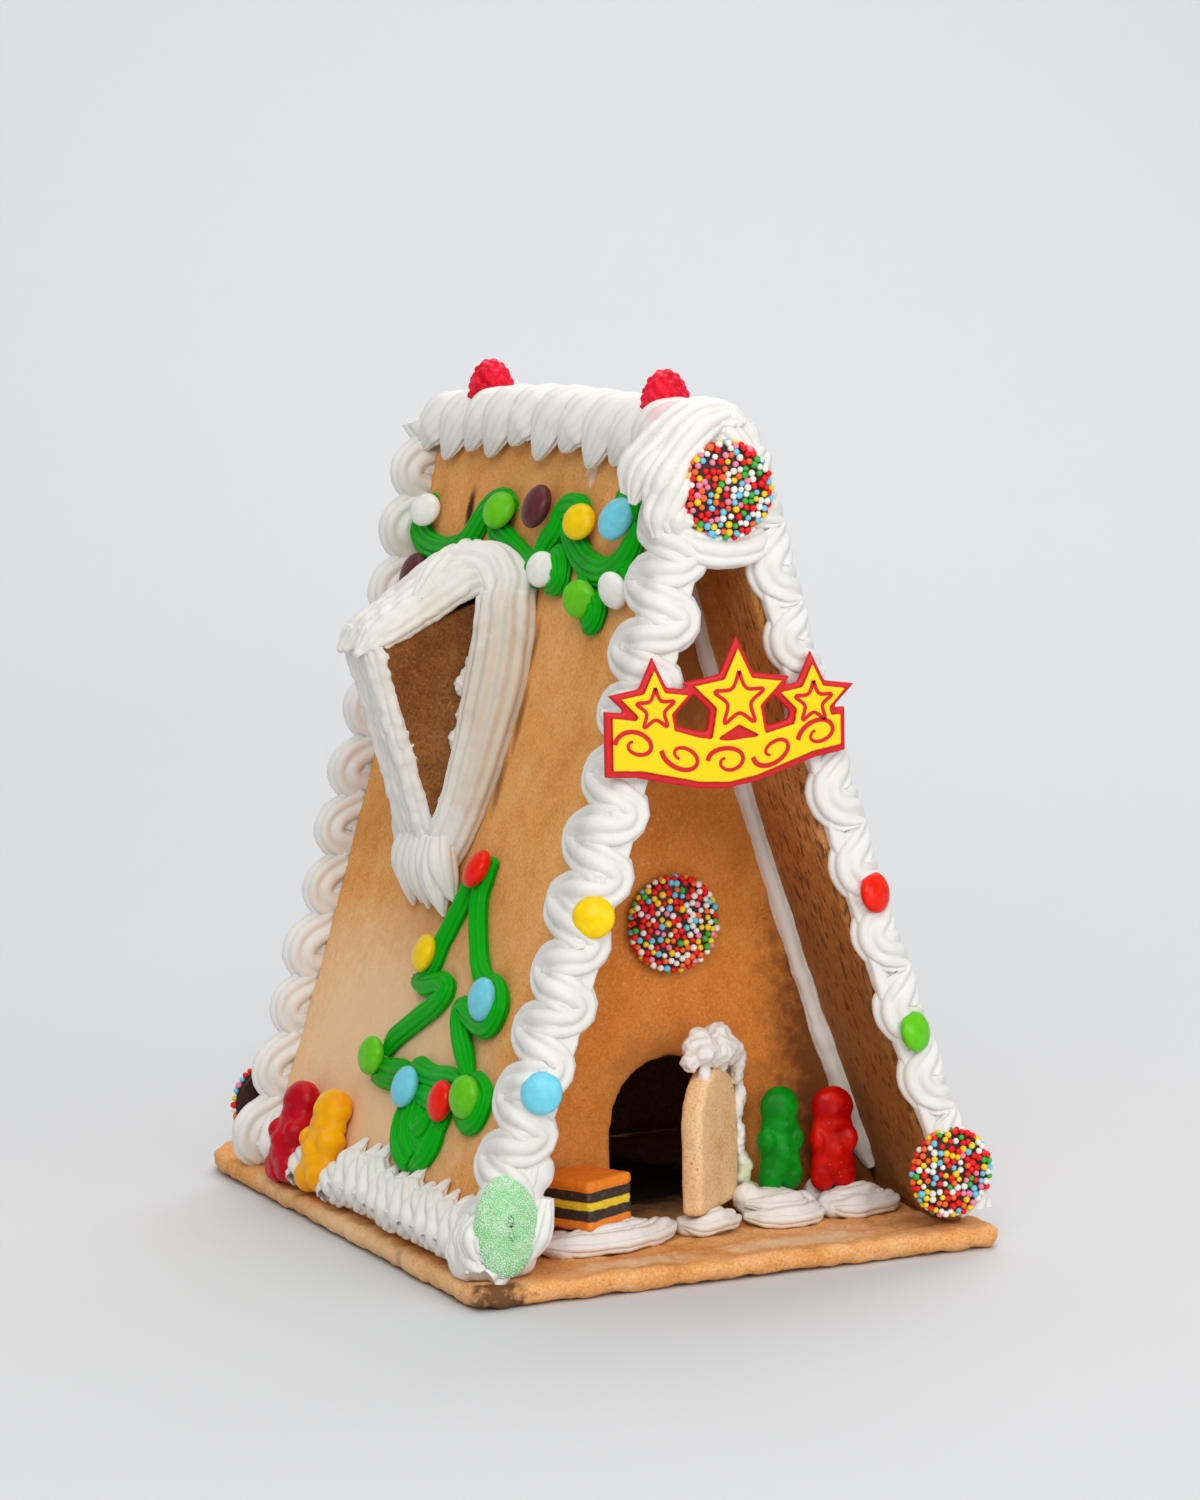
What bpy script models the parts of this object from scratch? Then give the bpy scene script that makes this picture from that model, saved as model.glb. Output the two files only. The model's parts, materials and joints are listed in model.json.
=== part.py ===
"""An A-frame gingerbread house on its gingerbread board, piped with icing and set with sweets.

Units are metres, +Z is up and -Y is the front. The origin is on the board's underside, under the
middle of the house.
Two bowed roof panels lean together over a front and a back gable. Icing is piped along every edge,
over the ridge, round the feet and round the dormer on the left roof. Sweets lie on the icing.
"""

from math import atan, cos, pi, radians, sin, tan

import bmesh
import bpy
from mathutils import Matrix, Vector

MM = 0.001
GAP = 0.3 * MM  # left between pieces that touch

# Gingerbread board
BOARD_WIDTH = 196 * MM
BOARD_FRONT = -120.5 * MM
BOARD_BACK = 150 * MM
BOARD_THICKNESS = 9 * MM
BOARD_CORNER = 6 * MM
BOARD_BACK_CORNER = 28 * MM
BOARD_EDGE = 2.5 * MM
CRACK_Y = -55 * MM  # a chip in the board's left side
FLOOR = BOARD_THICKNESS + GAP

# Roof panels
ROOF_FOOT = 90.5 * MM  # half-width over the panels' outer faces at the board
ROOF_SLOPE = radians(17.45)  # from the vertical
ROOF_RISE = 262 * MM
ROOF_BOW = 4.75 * MM  # how far the middle of a panel sags inwards
ROOF_FRONT = -107 * MM
ROOF_BACK_FOOT = 94 * MM
ROOF_BACK_TOP = 109.5 * MM
ROOF_THICKNESS = 7.5 * MM
ROOF_ACROSS = ROOF_THICKNESS / cos(ROOF_SLOPE)  # its thickness measured level
ROOF_STEPS = 8

# Gables, doorway and door
GABLE_THICKNESS = 7 * MM
GABLE_FRONT = -60 * MM
GABLE_BACK = 85 * MM
GABLE_TOP = 255 * MM
DOORWAY_X = 2 * MM
DOORWAY_WIDTH = 45 * MM
DOORWAY_TOP = 65 * MM
DOOR_WIDTH = 35 * MM
DOOR_HEIGHT = 49 * MM
DOOR_THICKNESS = 8 * MM
DOOR_BOTTOM = 15.2 * MM
DOOR_HINGE = (25 * MM, -64 * MM)
DOOR_AJAR = radians(42)

# Dormer on the left roof, as corners in XZ
DORMER_PEAK = (-73.6 * MM, 205.2 * MM)
DORMER_UPPER_Z = 221.8 * MM
DORMER_LOWER_Z = 122.5 * MM
DORMER_FRONT = 7 * MM
DORMER_DEPTH = 27 * MM
CHEEK_THICKNESS = 6 * MM
DORMER_CROWN_Z = 225.5 * MM  # top of the icing against the roof, below the garland
# Outline of the mound over the dormer, in millimetres along its upper edge from the outer corner,
# and off that edge
DORMER_MOUND = ((54, 15), (46, 17.9), (32, 16.7), (22, 12.4), (4, 6.5), (-6.5, 3.5))
DORMER_BEAD_LOW = 112 * MM
DORMER_BEAD_HIGH = 222.5 * MM

# Piping
LOBE_PITCH = 21.5 * MM  # from one loop of the piped zigzag to the next
LOBE_STEPS = 3
EDGE_TOP = 262 * MM
ICING_LIMIT = 97.5 * MM  # the icing stays over the board
RIDGE_TOP = 289 * MM
RUFFLE_PITCH = 12 * MM
GARLAND_WIDTH = 9.5 * MM
TREE_WIDTH = 7.5 * MM
STRAND_HEIGHT = 3.4 * MM

# Sweets
LENTIL_RADIUS = 7.5 * MM
LENTIL_FLATNESS = 0.47  # thickness over diameter
LENTIL_OFF = 6.5 * MM  # from the left roof to the middle of a lentil on it
FRECKLE_RADIUS = 16 * MM
FRECKLE_THICKNESS = 6.5 * MM
FRECKLE_PLANE = -113 * MM  # the flat backs of those on the front edges
TOP_FRECKLE_Z = 260 * MM
FIGURE_HEIGHT = 36 * MM
FIGURE_WIDTH = 18 * MM
FIGURE_THICKNESS = 8.5 * MM
RASPBERRY_RADIUS = 9.4 * MM
CUBE_SIDE = 22 * MM
CUBE_HEIGHT = 16.5 * MM
OVAL_WIDTH = 22 * MM
OVAL_HEIGHT = 34 * MM
OVAL_THICKNESS = 10 * MM
PLAQUE_Y = -116.9 * MM
PLAQUE_THICKNESS = 2 * MM
PLAQUE_RELIEF = 1 * MM

# Base colour, roughness and metallic value of each finish
FINISHES = {
    "gingerbread": ((0.62, 0.34, 0.15), 0.85, 0.0),
    "icing_white": ((0.87, 0.85, 0.81), 0.5, 0.0),
    "icing_green": ((0.01, 0.30, 0.03), 0.45, 0.0),
    "chocolate": ((0.06, 0.03, 0.02), 0.4, 0.0),
    "shell_white": ((0.80, 0.81, 0.74), 0.25, 0.0),
    "shell_green": ((0.10, 0.46, 0.01), 0.25, 0.0),
    "shell_brown": ((0.10, 0.03, 0.04), 0.25, 0.0),
    "shell_yellow": ((0.88, 0.60, 0.00), 0.25, 0.0),
    "shell_blue": ((0.13, 0.55, 0.76), 0.25, 0.0),
    "shell_red": ((0.85, 0.01, 0.00), 0.25, 0.0),
    "jelly_crimson": ((0.33, 0.00, 0.01), 0.35, 0.0),
    "jelly_amber": ((0.90, 0.38, 0.00), 0.35, 0.0),
    "jelly_green": ((0.00, 0.20, 0.01), 0.35, 0.0),
    "jelly_red": ((0.62, 0.00, 0.00), 0.35, 0.0),
    "jelly_pink": ((0.85, 0.01, 0.05), 0.35, 0.0),
    "sugared_green": ((0.27, 0.63, 0.26), 0.8, 0.0),
    "liquorice": ((0.85, 0.30, 0.01), 0.6, 0.0),
    "plaque_red": ((0.65, 0.02, 0.02), 0.35, 0.0),
    "plaque_yellow": ((0.98, 0.68, 0.00), 0.35, 0.0),
}


# ---------------------------------------------------------------- scene and mesh helpers


def clear_scene():
    for obj in list(bpy.data.objects):
        bpy.data.objects.remove(obj, do_unlink=True)


def new_collection(name):
    collection = bpy.data.collections.new(name)
    bpy.context.scene.collection.children.link(collection)
    return collection


def make_materials():
    made = {}
    for name, (colour, roughness, metallic) in FINISHES.items():
        material = bpy.data.materials.new(name)
        material.use_nodes = True
        shader = material.node_tree.nodes["Principled BSDF"]
        shader.inputs["Base Color"].default_value = (*colour, 1.0)
        shader.inputs["Roughness"].default_value = roughness
        shader.inputs["Metallic"].default_value = metallic
        material.diffuse_color = (*colour, 1.0)
        made[name] = material
    return made


def add_piece(name, mesh, finish):
    mesh.name = name
    mesh.materials.clear()
    mesh.materials.append(MATERIALS[finish])
    obj = bpy.data.objects.new(name, mesh)
    HOUSE.objects.link(obj)
    return obj


def mesh_of(bm):
    bmesh.ops.recalc_face_normals(bm, faces=bm.faces)
    mesh = bpy.data.meshes.new("shape")
    bm.to_mesh(mesh)
    bm.free()
    return mesh


def evaluated_mesh(obj):
    """The object's mesh with its modifiers applied, in world space and with its caps welded."""
    bpy.context.view_layer.update()
    graph = bpy.context.evaluated_depsgraph_get()
    mesh = bpy.data.meshes.new_from_object(obj.evaluated_get(graph))
    mesh.transform(obj.matrix_world)
    bm = bmesh.new()
    bm.from_mesh(mesh)
    bmesh.ops.remove_doubles(bm, verts=bm.verts, dist=0.01 * MM)
    bmesh.ops.recalc_face_normals(bm, faces=bm.faces)
    bm.to_mesh(mesh)
    bm.free()
    return mesh


def outline_mesh(points, thickness):
    """The closed outline in the XZ plane as a slab, its thickness centred on Y = 0."""
    curve = bpy.data.curves.new("outline", "CURVE")
    curve.dimensions = "2D"
    curve.fill_mode = "BOTH"
    curve.extrude = thickness / 2
    spline = curve.splines.new("POLY")
    spline.points.add(len(points) - 1)
    spline.use_cyclic_u = True
    for point, (x, z) in zip(spline.points, points):
        point.co = (x, z, 0, 1)
    guide = bpy.data.objects.new("outline", curve)
    bpy.context.scene.collection.objects.link(guide)
    guide.rotation_euler.x = pi / 2
    mesh = evaluated_mesh(guide)
    bpy.data.objects.remove(guide, do_unlink=True)
    return mesh


def loft_mesh(rings):
    """A closed body skinned over rings of equally many points, with flat ends."""
    bm = bmesh.new()
    loops = [[bm.verts.new(point) for point in ring] for ring in rings]
    count = len(loops[0])
    for near, far in zip(loops, loops[1:]):
        for k in range(count):
            following = (k + 1) % count
            bm.faces.new((near[k], near[following], far[following], far[k]))
    bm.faces.new(loops[0])
    bm.faces.new(loops[-1])
    return mesh_of(bm)


def round_edges(obj, width, segments=1, angle=35):
    """Rounds the sharp edges of a piece."""
    bevel = obj.modifiers.new("rounded_edges", "BEVEL")
    bevel.width = width
    bevel.segments = segments
    bevel.limit_method = "ANGLE"
    bevel.angle_limit = radians(angle)


def add_cutter(name, mesh):
    mesh.name = name
    cutter = bpy.data.objects.new(name, mesh)
    CUTTERS.objects.link(cutter)
    cutter.hide_render = True
    cutter.display_type = "WIRE"
    return cutter


def combine(obj, other, operation):
    boolean = obj.modifiers.new(other.name, "BOOLEAN")
    boolean.operation = operation
    boolean.solver = "EXACT"
    boolean.object = other


def join_meshes(name, meshes, finish):
    """One closed body from overlapping ones."""
    obj = add_piece(name, meshes[0], finish)
    for k, mesh in enumerate(meshes[1:], start=2):
        combine(obj, add_cutter(f"{name}_part_{k}", mesh), "UNION")
    return obj


def press(icing, sweet, clearance=GAP):
    """Cuts a seat for the sweet into the icing that it is pressed into."""
    mesh = evaluated_mesh(sweet)
    bm = bmesh.new()
    bm.from_mesh(mesh)
    bm.normal_update()
    for vert, push in [(vert, vert.normal * clearance * 1.3) for vert in bm.verts]:
        vert.co += push
    bm.to_mesh(mesh)
    bm.free()
    combine(icing, add_cutter(f"{icing.name}_seat_{sweet.name}", mesh), "DIFFERENCE")


# ---------------------------------------------------------------- the roof's surface


def roof_x(z):
    """Half-width of the house over the roof panels' outer faces at height z."""
    s = (z - BOARD_THICKNESS) / ROOF_RISE
    straight = ROOF_FOOT - (z - BOARD_THICKNESS) * tan(ROOF_SLOPE)
    return straight - 4 * ROOF_BOW * s * (1 - s)


def roof_back(z):
    """Y of the panels' back edge, which leans back towards the ridge."""
    s = (z - BOARD_THICKNESS) / ROOF_RISE
    return ROOF_BACK_FOOT + (ROOF_BACK_TOP - ROOF_BACK_FOOT) * s


def on_roof(y, up, off, side=-1):
    """The point on a roof panel at y, up its slope from the board, and off its outer face."""
    z = BOARD_THICKNESS + up * cos(ROOF_SLOPE)
    s = (z - BOARD_THICKNESS) / ROOF_RISE
    slope = atan(tan(ROOF_SLOPE) + 4 * ROOF_BOW * (1 - 2 * s) / ROOF_RISE)
    return Vector((side * (roof_x(z) + off * cos(slope)), y, z + off * sin(slope)))


def roof_turn(y, up, side=-1):
    """Rotation whose Z is the roof's outward normal, X is up its slope and Y is level."""
    upward = (on_roof(y, up + MM, 0, side) - on_roof(y, up - MM, 0, side)).normalized()
    outward = (on_roof(y, up, MM, side) - on_roof(y, up, 0, side)).normalized()
    level = outward.cross(upward)
    return Matrix((upward, level, outward)).transposed().to_4x4()


def heights(low, high, count):
    return [low + (high - low) * k / (count - 1) for k in range(count)]


# ---------------------------------------------------------------- gingerbread


def board():
    """The base board: a rounded slab with a chip in its left side."""
    bm = bmesh.new()
    bmesh.ops.create_cube(bm, size=1)
    depth, middle = BOARD_BACK - BOARD_FRONT, (BOARD_BACK + BOARD_FRONT) / 2
    bmesh.ops.scale(bm, vec=(BOARD_WIDTH, depth, BOARD_THICKNESS), verts=bm.verts)
    bmesh.ops.translate(bm, vec=(0, middle, BOARD_THICKNESS / 2), verts=bm.verts)
    for end, radius in ((-1, BOARD_CORNER), (1, BOARD_BACK_CORNER)):
        upright = [e for e in bm.edges if abs(e.verts[0].co.z - e.verts[1].co.z) > MM]
        corners = [e for e in upright if end * (e.verts[0].co.y - middle) > 0]
        bmesh.ops.bevel(bm, geom=corners, offset=radius, segments=4, profile=0.5, affect="EDGES")
    obj = add_piece("base_board", mesh_of(bm), "gingerbread")
    round_edges(obj, BOARD_EDGE, angle=60)

    chip = bmesh.new()
    bmesh.ops.create_cone(
        chip, cap_ends=True, segments=3, radius1=2.4 * MM, radius2=1.4 * MM, depth=12 * MM
    )
    bmesh.ops.translate(
        chip, vec=(-BOARD_WIDTH / 2 - 0.4 * MM, CRACK_Y, BOARD_THICKNESS - 3 * MM), verts=chip.verts
    )
    combine(obj, add_cutter("board_chip", mesh_of(chip)), "DIFFERENCE")


def roof_panel(name, side):
    """A thin panel, bowed inwards, whose back edge leans back towards the ridge."""
    levels = heights(FLOOR, BOARD_THICKNESS + ROOF_RISE, ROOF_STEPS + 1)
    outer = [(side * roof_x(z), z) for z in levels]
    inner = [(side * (roof_x(z) - ROOF_ACROSS), z) for z in reversed(levels)]
    mesh = outline_mesh(outer + inner, ROOF_BACK_FOOT - ROOF_FRONT)
    for vert in mesh.vertices:
        vert.co.y = ROOF_FRONT if vert.co.y < 0 else roof_back(vert.co.z)
    obj = add_piece(name, mesh, "gingerbread")
    round_edges(obj, 0.8 * MM)


def gable_outline(half_gap):
    """Left foot, up to the peak and down to the right foot, just inside the roof panels."""
    levels = heights(FLOOR, GABLE_TOP, 6)
    half = [(roof_x(z) - ROOF_ACROSS - half_gap, z) for z in levels]
    left = [(-x, z) for x, z in half]
    right = [(x, z) for x, z in reversed(half)]
    return left + right


def doorway_outline(centre, width, bottom, top, steps=10):
    """Right jamb, over the round arch and down the left jamb."""
    radius = width / 2
    spring = top - radius
    arch = [
        (centre + radius * cos(pi * k / steps), spring + radius * sin(pi * k / steps))
        for k in range(steps + 1)
    ]
    return [(centre + radius, bottom)] + arch + [(centre - radius, bottom)]


def gable(name, front, with_doorway):
    points = gable_outline(0.5 * MM)
    if with_doorway:
        points += doorway_outline(DOORWAY_X, DOORWAY_WIDTH, FLOOR, DOORWAY_TOP)
    mesh = outline_mesh(points, GABLE_THICKNESS)
    mesh.transform(Matrix.Translation((0, front + GABLE_THICKNESS / 2, 0)))
    add_piece(name, mesh, "gingerbread")


def door():
    """The piece cut from the doorway, standing ajar on its right jamb."""
    points = doorway_outline(-DOOR_WIDTH / 2, DOOR_WIDTH, 0, DOOR_HEIGHT, steps=8)
    obj = add_piece("door", outline_mesh(points, DOOR_THICKNESS), "gingerbread")
    obj.rotation_euler.z = DOOR_AJAR
    obj.location = (*DOOR_HINGE, DOOR_BOTTOM)
    round_edges(obj, 1.8 * MM)
    return obj


# ---------------------------------------------------------------- dormer


def dormer_offset(corner, following, distance):
    """A corner of the dormer moved square off its edge, away from the dormer."""
    along = (Vector(following) - Vector(corner)).normalized()
    return Vector(corner) + Vector((-along.y, along.x)) * distance


def wall_points(low, high, off, count=5):
    return [(-(roof_x(z) + off), z) for z in heights(low, high, count)]


def dormer_cheeks():
    wall = wall_points(DORMER_LOWER_Z, DORMER_UPPER_Z, 0.5 * MM)
    for name, front in (
        ("dormer_cheek_front", DORMER_FRONT),
        ("dormer_cheek_back", DORMER_FRONT + DORMER_DEPTH - CHEEK_THICKNESS),
    ):
        mesh = outline_mesh([*wall, DORMER_PEAK], CHEEK_THICKNESS)
        mesh.transform(Matrix.Translation((0, front + CHEEK_THICKNESS / 2, 0)))
        add_piece(name, mesh, "gingerbread")


def dormer_block(points, front, back):
    mesh = outline_mesh(points, back - front)
    mesh.transform(Matrix.Translation((0, (front + back) / 2, 0)))
    return mesh


def dormer_bead(mirror_y=None):
    """The fat bead that fills the corner between a cheek and the roof, bowed out on the roof."""
    against = DORMER_FRONT - 0.4 * MM
    rings = []
    for s in heights(0, 1, 10):
        z = DORMER_BEAD_LOW + (DORMER_BEAD_HIGH - DORMER_BEAD_LOW) * s
        swell = sin(pi * s) ** 0.5 if 0 < s < 1 else 0
        reach = (3 + 25.5 * swell) * MM
        rise = (6 + 9 * swell) * MM
        section = (
            (against, 0.5 * MM),
            (against, rise),
            (against - 0.25 * reach, 1.05 * rise),
            (against - 0.65 * reach, 0.75 * rise),
            (against - reach, 0.3 * rise),
            (against - 0.9 * reach, 0.5 * MM),
        )
        ring = []
        for y, off in section:
            if mirror_y is not None:
                y = 2 * mirror_y - y
            ring.append((-(roof_x(z) + off), y, z + 0.3 * off))
        rings.append(ring)
    return loft_mesh(rings)


def dormer_icing():
    """Icing over the dormer's top and outer edges, in both its corners and in a tail below it."""
    upper = (-(roof_x(DORMER_UPPER_Z) + 0.5 * MM), DORMER_UPPER_Z)
    lower = (-(roof_x(DORMER_LOWER_Z) + 0.5 * MM), DORMER_LOWER_Z)
    along = (Vector(upper) - Vector(DORMER_PEAK)).normalized()
    mound = [
        dormer_offset(DORMER_PEAK, upper, rise * MM) + along * reach * MM
        for reach, rise in DORMER_MOUND
    ]
    face_high = dormer_offset(lower, DORMER_PEAK, 7 * MM) + (Vector(DORMER_PEAK) - Vector(lower))
    face_low = dormer_offset(lower, DORMER_PEAK, 7 * MM)
    seat = dormer_offset(DORMER_PEAK, upper, 0.4 * MM)
    seat_high = (upper[0], upper[1] + 0.5 * MM)
    crown = wall_points(DORMER_LOWER_Z - 5 * MM, DORMER_CROWN_Z, 0.6 * MM, 6)
    over_garland = DORMER_CROWN_Z + 1.5 * MM
    lip = (-(roof_x(over_garland) + 5.5 * MM), over_garland)
    between = CHEEK_THICKNESS + 0.4 * MM
    back = DORMER_FRONT + DORMER_DEPTH

    core = dormer_block(
        [*crown, lip, *mound, face_high, face_low], DORMER_FRONT + between, back - between
    )
    top = dormer_block(
        [seat_high, crown[-1], lip, *mound, seat], DORMER_FRONT - 4 * MM, back + 4 * MM
    )
    middle = DORMER_FRONT + DORMER_DEPTH / 2
    tail = []
    for z, off, half in ((121.3, 10, 18), (117, 10.5, 18), (112, 8, 17), (108.5, 3, 13)):
        z, off, half = z * MM, off * MM, half * MM
        ring = [(-(roof_x(z) + 0.5 * MM), middle + half, z)]
        for share, rise in ((1, 0.5), (0.6, 0.95), (0, 1), (-0.6, 0.95), (-1, 0.5)):
            ring.append((-(roof_x(z) + 0.5 * MM + off * rise), middle + share * half, z))
        ring.append((-(roof_x(z) + 0.5 * MM), middle - half, z))
        tail.append(ring)
    return join_meshes(
        "dormer_icing",
        [core, top, dormer_bead(), dormer_bead(mirror_y=middle), loft_mesh(tail)],
        "icing_white",
    )


# ---------------------------------------------------------------- piped white icing


def lobe(distance, phase=0.0):
    """1 where a loop of the zigzag reaches furthest out, -1 where it turns back."""
    return cos(2 * pi * (distance / LOBE_PITCH - phase))


def stations(low, high):
    count = round((high - low) / LOBE_PITCH * LOBE_STEPS) + 1
    return heights(low, high, count)


def front_section(z, wave, flat):
    """(off, ahead) round the icing over a front corner: off the roof and ahead of its edge."""
    reach = (27 + 4 * wave) * MM
    inward = min((11.5 - 2.5 * wave) * MM, roof_x(z) - 0.3 * MM)
    depth = (5.2 if flat else 9.3) * MM
    swell = min((9.2 + 1.2 * wave) * MM, ICING_LIMIT - roof_x(z))
    return (
        (GAP, -reach),
        (GAP, GAP),
        (-inward, GAP),
        (-inward, 0.55 * depth),
        (-0.5 * inward, depth),
        (0.45 * swell, 0.85 * depth),
        (swell, 0),
        (0.8 * swell, -0.75 * reach),
    )


def back_section(z, wave):
    """(off, ahead) round the icing on a back edge, which stands out past the roof's face."""
    outward = min((9.5 + 3 * wave) * MM, ICING_LIMIT - MM - roof_x(z))
    inward = min((11 - 2.5 * wave) * MM, roof_x(z) - 0.3 * MM)
    return (
        (outward, GAP),
        (-inward, GAP),
        (-inward, 4.5 * MM),
        (-0.4 * inward, 9.2 * MM),
        (0.6 * outward, 8.6 * MM),
        (outward + MM, 3.8 * MM),
    )


def edge_icing(name, side, at_front, phase, flat_spans=()):
    """The zigzag piped up one edge of a roof panel, in level rings."""
    rings = []
    for z in stations(FLOOR, EDGE_TOP):
        wave = lobe(z, phase)
        if at_front:
            flat = any(low <= z <= high for low, high in flat_spans)
            section = front_section(z, wave, flat)
            edge, ahead_y = ROOF_FRONT, -1
        else:
            section = back_section(z, wave)
            edge, ahead_y = roof_back(z), 1
        rings.append(
            [(side * (roof_x(z) + off), edge + ahead_y * ahead, z) for off, ahead in section]
        )
    return add_piece(name, loft_mesh(rings), "icing_white")


def ridge_section(y):
    """(x, z) round the icing over the ridge, with a pointed scallop hanging on each side."""
    closed = not ROOF_FRONT - GAP < y < ROOF_BACK_TOP + GAP
    low = {side: (268.5 - 3.5 * lobe(y, 0.25 * side)) * MM for side in (-1, 1)}
    shoulder = BOARD_THICKNESS + ROOF_RISE + GAP
    crest = RIDGE_TOP - 1.2 * MM * (1 - lobe(y, 0.1))
    over_freckle = y < FRECKLE_PLANE + 0.5 * MM
    floor = TOP_FRECKLE_Z + FRECKLE_RADIUS if over_freckle else EDGE_TOP
    floor += 0.6 * MM

    def side_points(side):
        tip = low[side]
        return (
            (side * (roof_x(tip) + GAP), floor if closed else tip),
            (side * (roof_x(tip) + 3 * MM), floor + MM if closed else tip + 1.5 * MM),
            (side * (roof_x(tip) + 6 * MM), max(tip + 7.5 * MM, floor + 2 * MM)),
            (side * 8.5 * MM, crest - 3.5 * MM),
        )

    under = [(side * (roof_x(shoulder) + GAP), floor if closed else shoulder) for side in (1, -1)]
    left = side_points(-1)
    right = side_points(1)
    return [*left, (0, crest), *reversed(right), *under]


def ridge_icing():
    front = ROOF_FRONT - 10.5 * MM
    back = ROOF_BACK_TOP + 8.5 * MM
    inner = stations(ROOF_FRONT - 0.2 * MM, ROOF_BACK_TOP + 0.2 * MM)
    along = [front, FRECKLE_PLANE + 0.3 * MM, FRECKLE_PLANE + 0.7 * MM, ROOF_FRONT - 0.5 * MM, *inner]
    along += [ROOF_BACK_TOP + 0.5 * MM, ROOF_BACK_TOP + 4.5 * MM, back]
    rings = [[(x, y, z) for x, z in ridge_section(y)] for y in along]
    return add_piece("icing_ridge", loft_mesh(rings), "icing_white")


def base_icing(name, side, front, back, bed=None):
    """The ruffle piped along a roof panel's foot, low where sweets stand on it."""
    rings = []
    count = round((back - front) / RUFFLE_PITCH * 2) + 1
    for k, y in enumerate(heights(front, back, count)):
        spike = 1 if k % 2 else -1
        top = (24 + 3.5 * spike) * MM
        if bed and bed[0] < y < bed[1]:
            top = 13 * MM
        foot = (94.5 + 1.2 * spike) * MM
        wall = roof_x(top) + GAP
        ring = [
            (roof_x(FLOOR) + GAP, FLOOR),
            (wall, top),
            (wall + 2 * MM, top + 0.5 * MM),
            (0.45 * wall + 0.55 * foot + 4 * MM, 0.5 * (top + FLOOR)),
            (foot, FLOOR),
        ]
        rings.append([(side * x, y, z) for x, z in ring])
    return add_piece(name, loft_mesh(rings), "icing_white")


def seam_icing(name, side):
    """The fillet between the front gable and a roof panel's inner face."""
    rings = []
    for z in heights(19 * MM, 238 * MM, 9):
        corner = roof_x(z) - ROOF_ACROSS - 0.5 * MM
        wide = min(6 * MM, corner - 0.4 * MM)
        y = GABLE_FRONT - 0.4 * MM
        ring = (
            (corner, y),
            (corner - wide, y),
            (corner - 0.75 * wide, y - 3 * MM),
            (corner, y - 6 * MM),
        )
        rings.append([(side * x, ring_y, z) for x, ring_y in ring])
    add_piece(name, loft_mesh(rings), "icing_white")


def dollop(name, centre, half, height, turn=0.0, flat=None, ribs=0):
    """A low mound of icing on the board, flattened where something stands on it."""
    bm = bmesh.new()
    bmesh.ops.create_uvsphere(bm, u_segments=12, v_segments=6, radius=1)
    bmesh.ops.bisect_plane(
        bm,
        geom=[*bm.verts, *bm.edges, *bm.faces],
        plane_co=(0, 0, -0.02),
        plane_no=(0, 0, -1),
        clear_outer=True,
    )
    bmesh.ops.holes_fill(bm, edges=[e for e in bm.edges if e.is_boundary])
    for vert in bm.verts:
        across = Vector((vert.co.x, vert.co.y))
        ripple = 1 + (0.05 * cos(ribs * across.angle_signed(Vector((1, 0)), 0)) if ribs else 0)
        vert.co.x *= half[0] * ripple
        vert.co.y *= half[1] * ripple
        vert.co.z = max(vert.co.z, 0) * height
        if flat:
            vert.co.z = min(vert.co.z, flat)
    mesh = mesh_of(bm)
    mesh.transform(Matrix.Translation((*centre, FLOOR)) @ Matrix.Rotation(turn, 4, "Z"))
    return add_piece(name, mesh, "icing_white")


def door_cap(door_piece):
    """The blob on the door's top and the strip that runs down its hinged side."""
    blob = bmesh.new()
    bmesh.ops.create_uvsphere(blob, u_segments=10, v_segments=6, radius=1)
    bmesh.ops.scale(blob, vec=(14.5 * MM, 8.5 * MM, 9 * MM), verts=blob.verts)
    bmesh.ops.rotate(blob, matrix=Matrix.Rotation(DOOR_AJAR, 3, "Z"), verts=blob.verts)
    bmesh.ops.translate(blob, vec=(7 * MM, -76.5 * MM, 69 * MM), verts=blob.verts)
    strip = []
    for z, width, depth in ((17.5, 5, 3), (30, 3, 4), (46, 2.5, 5), (58, 3.5, 7), (68, 3, 6)):
        x, y = DOOR_HINGE[0] + 1 * MM, GABLE_FRONT - 0.5 * MM
        lean = max(0, z - 50) * 0.45
        strip.append(
            [
                (x - (2 + lean) * MM, y, z * MM),
                (x + width * MM, y, z * MM),
                (x + width * MM, y - depth * MM, z * MM),
                (x - (2 + lean) * MM, y - (depth + lean) * MM, z * MM),
            ]
        )
    obj = join_meshes("icing_door_cap", [mesh_of(blob), loft_mesh(strip)], "icing_white")
    press(obj, door_piece, 0.4 * MM)


# ---------------------------------------------------------------- green piping on the left roof

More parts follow.
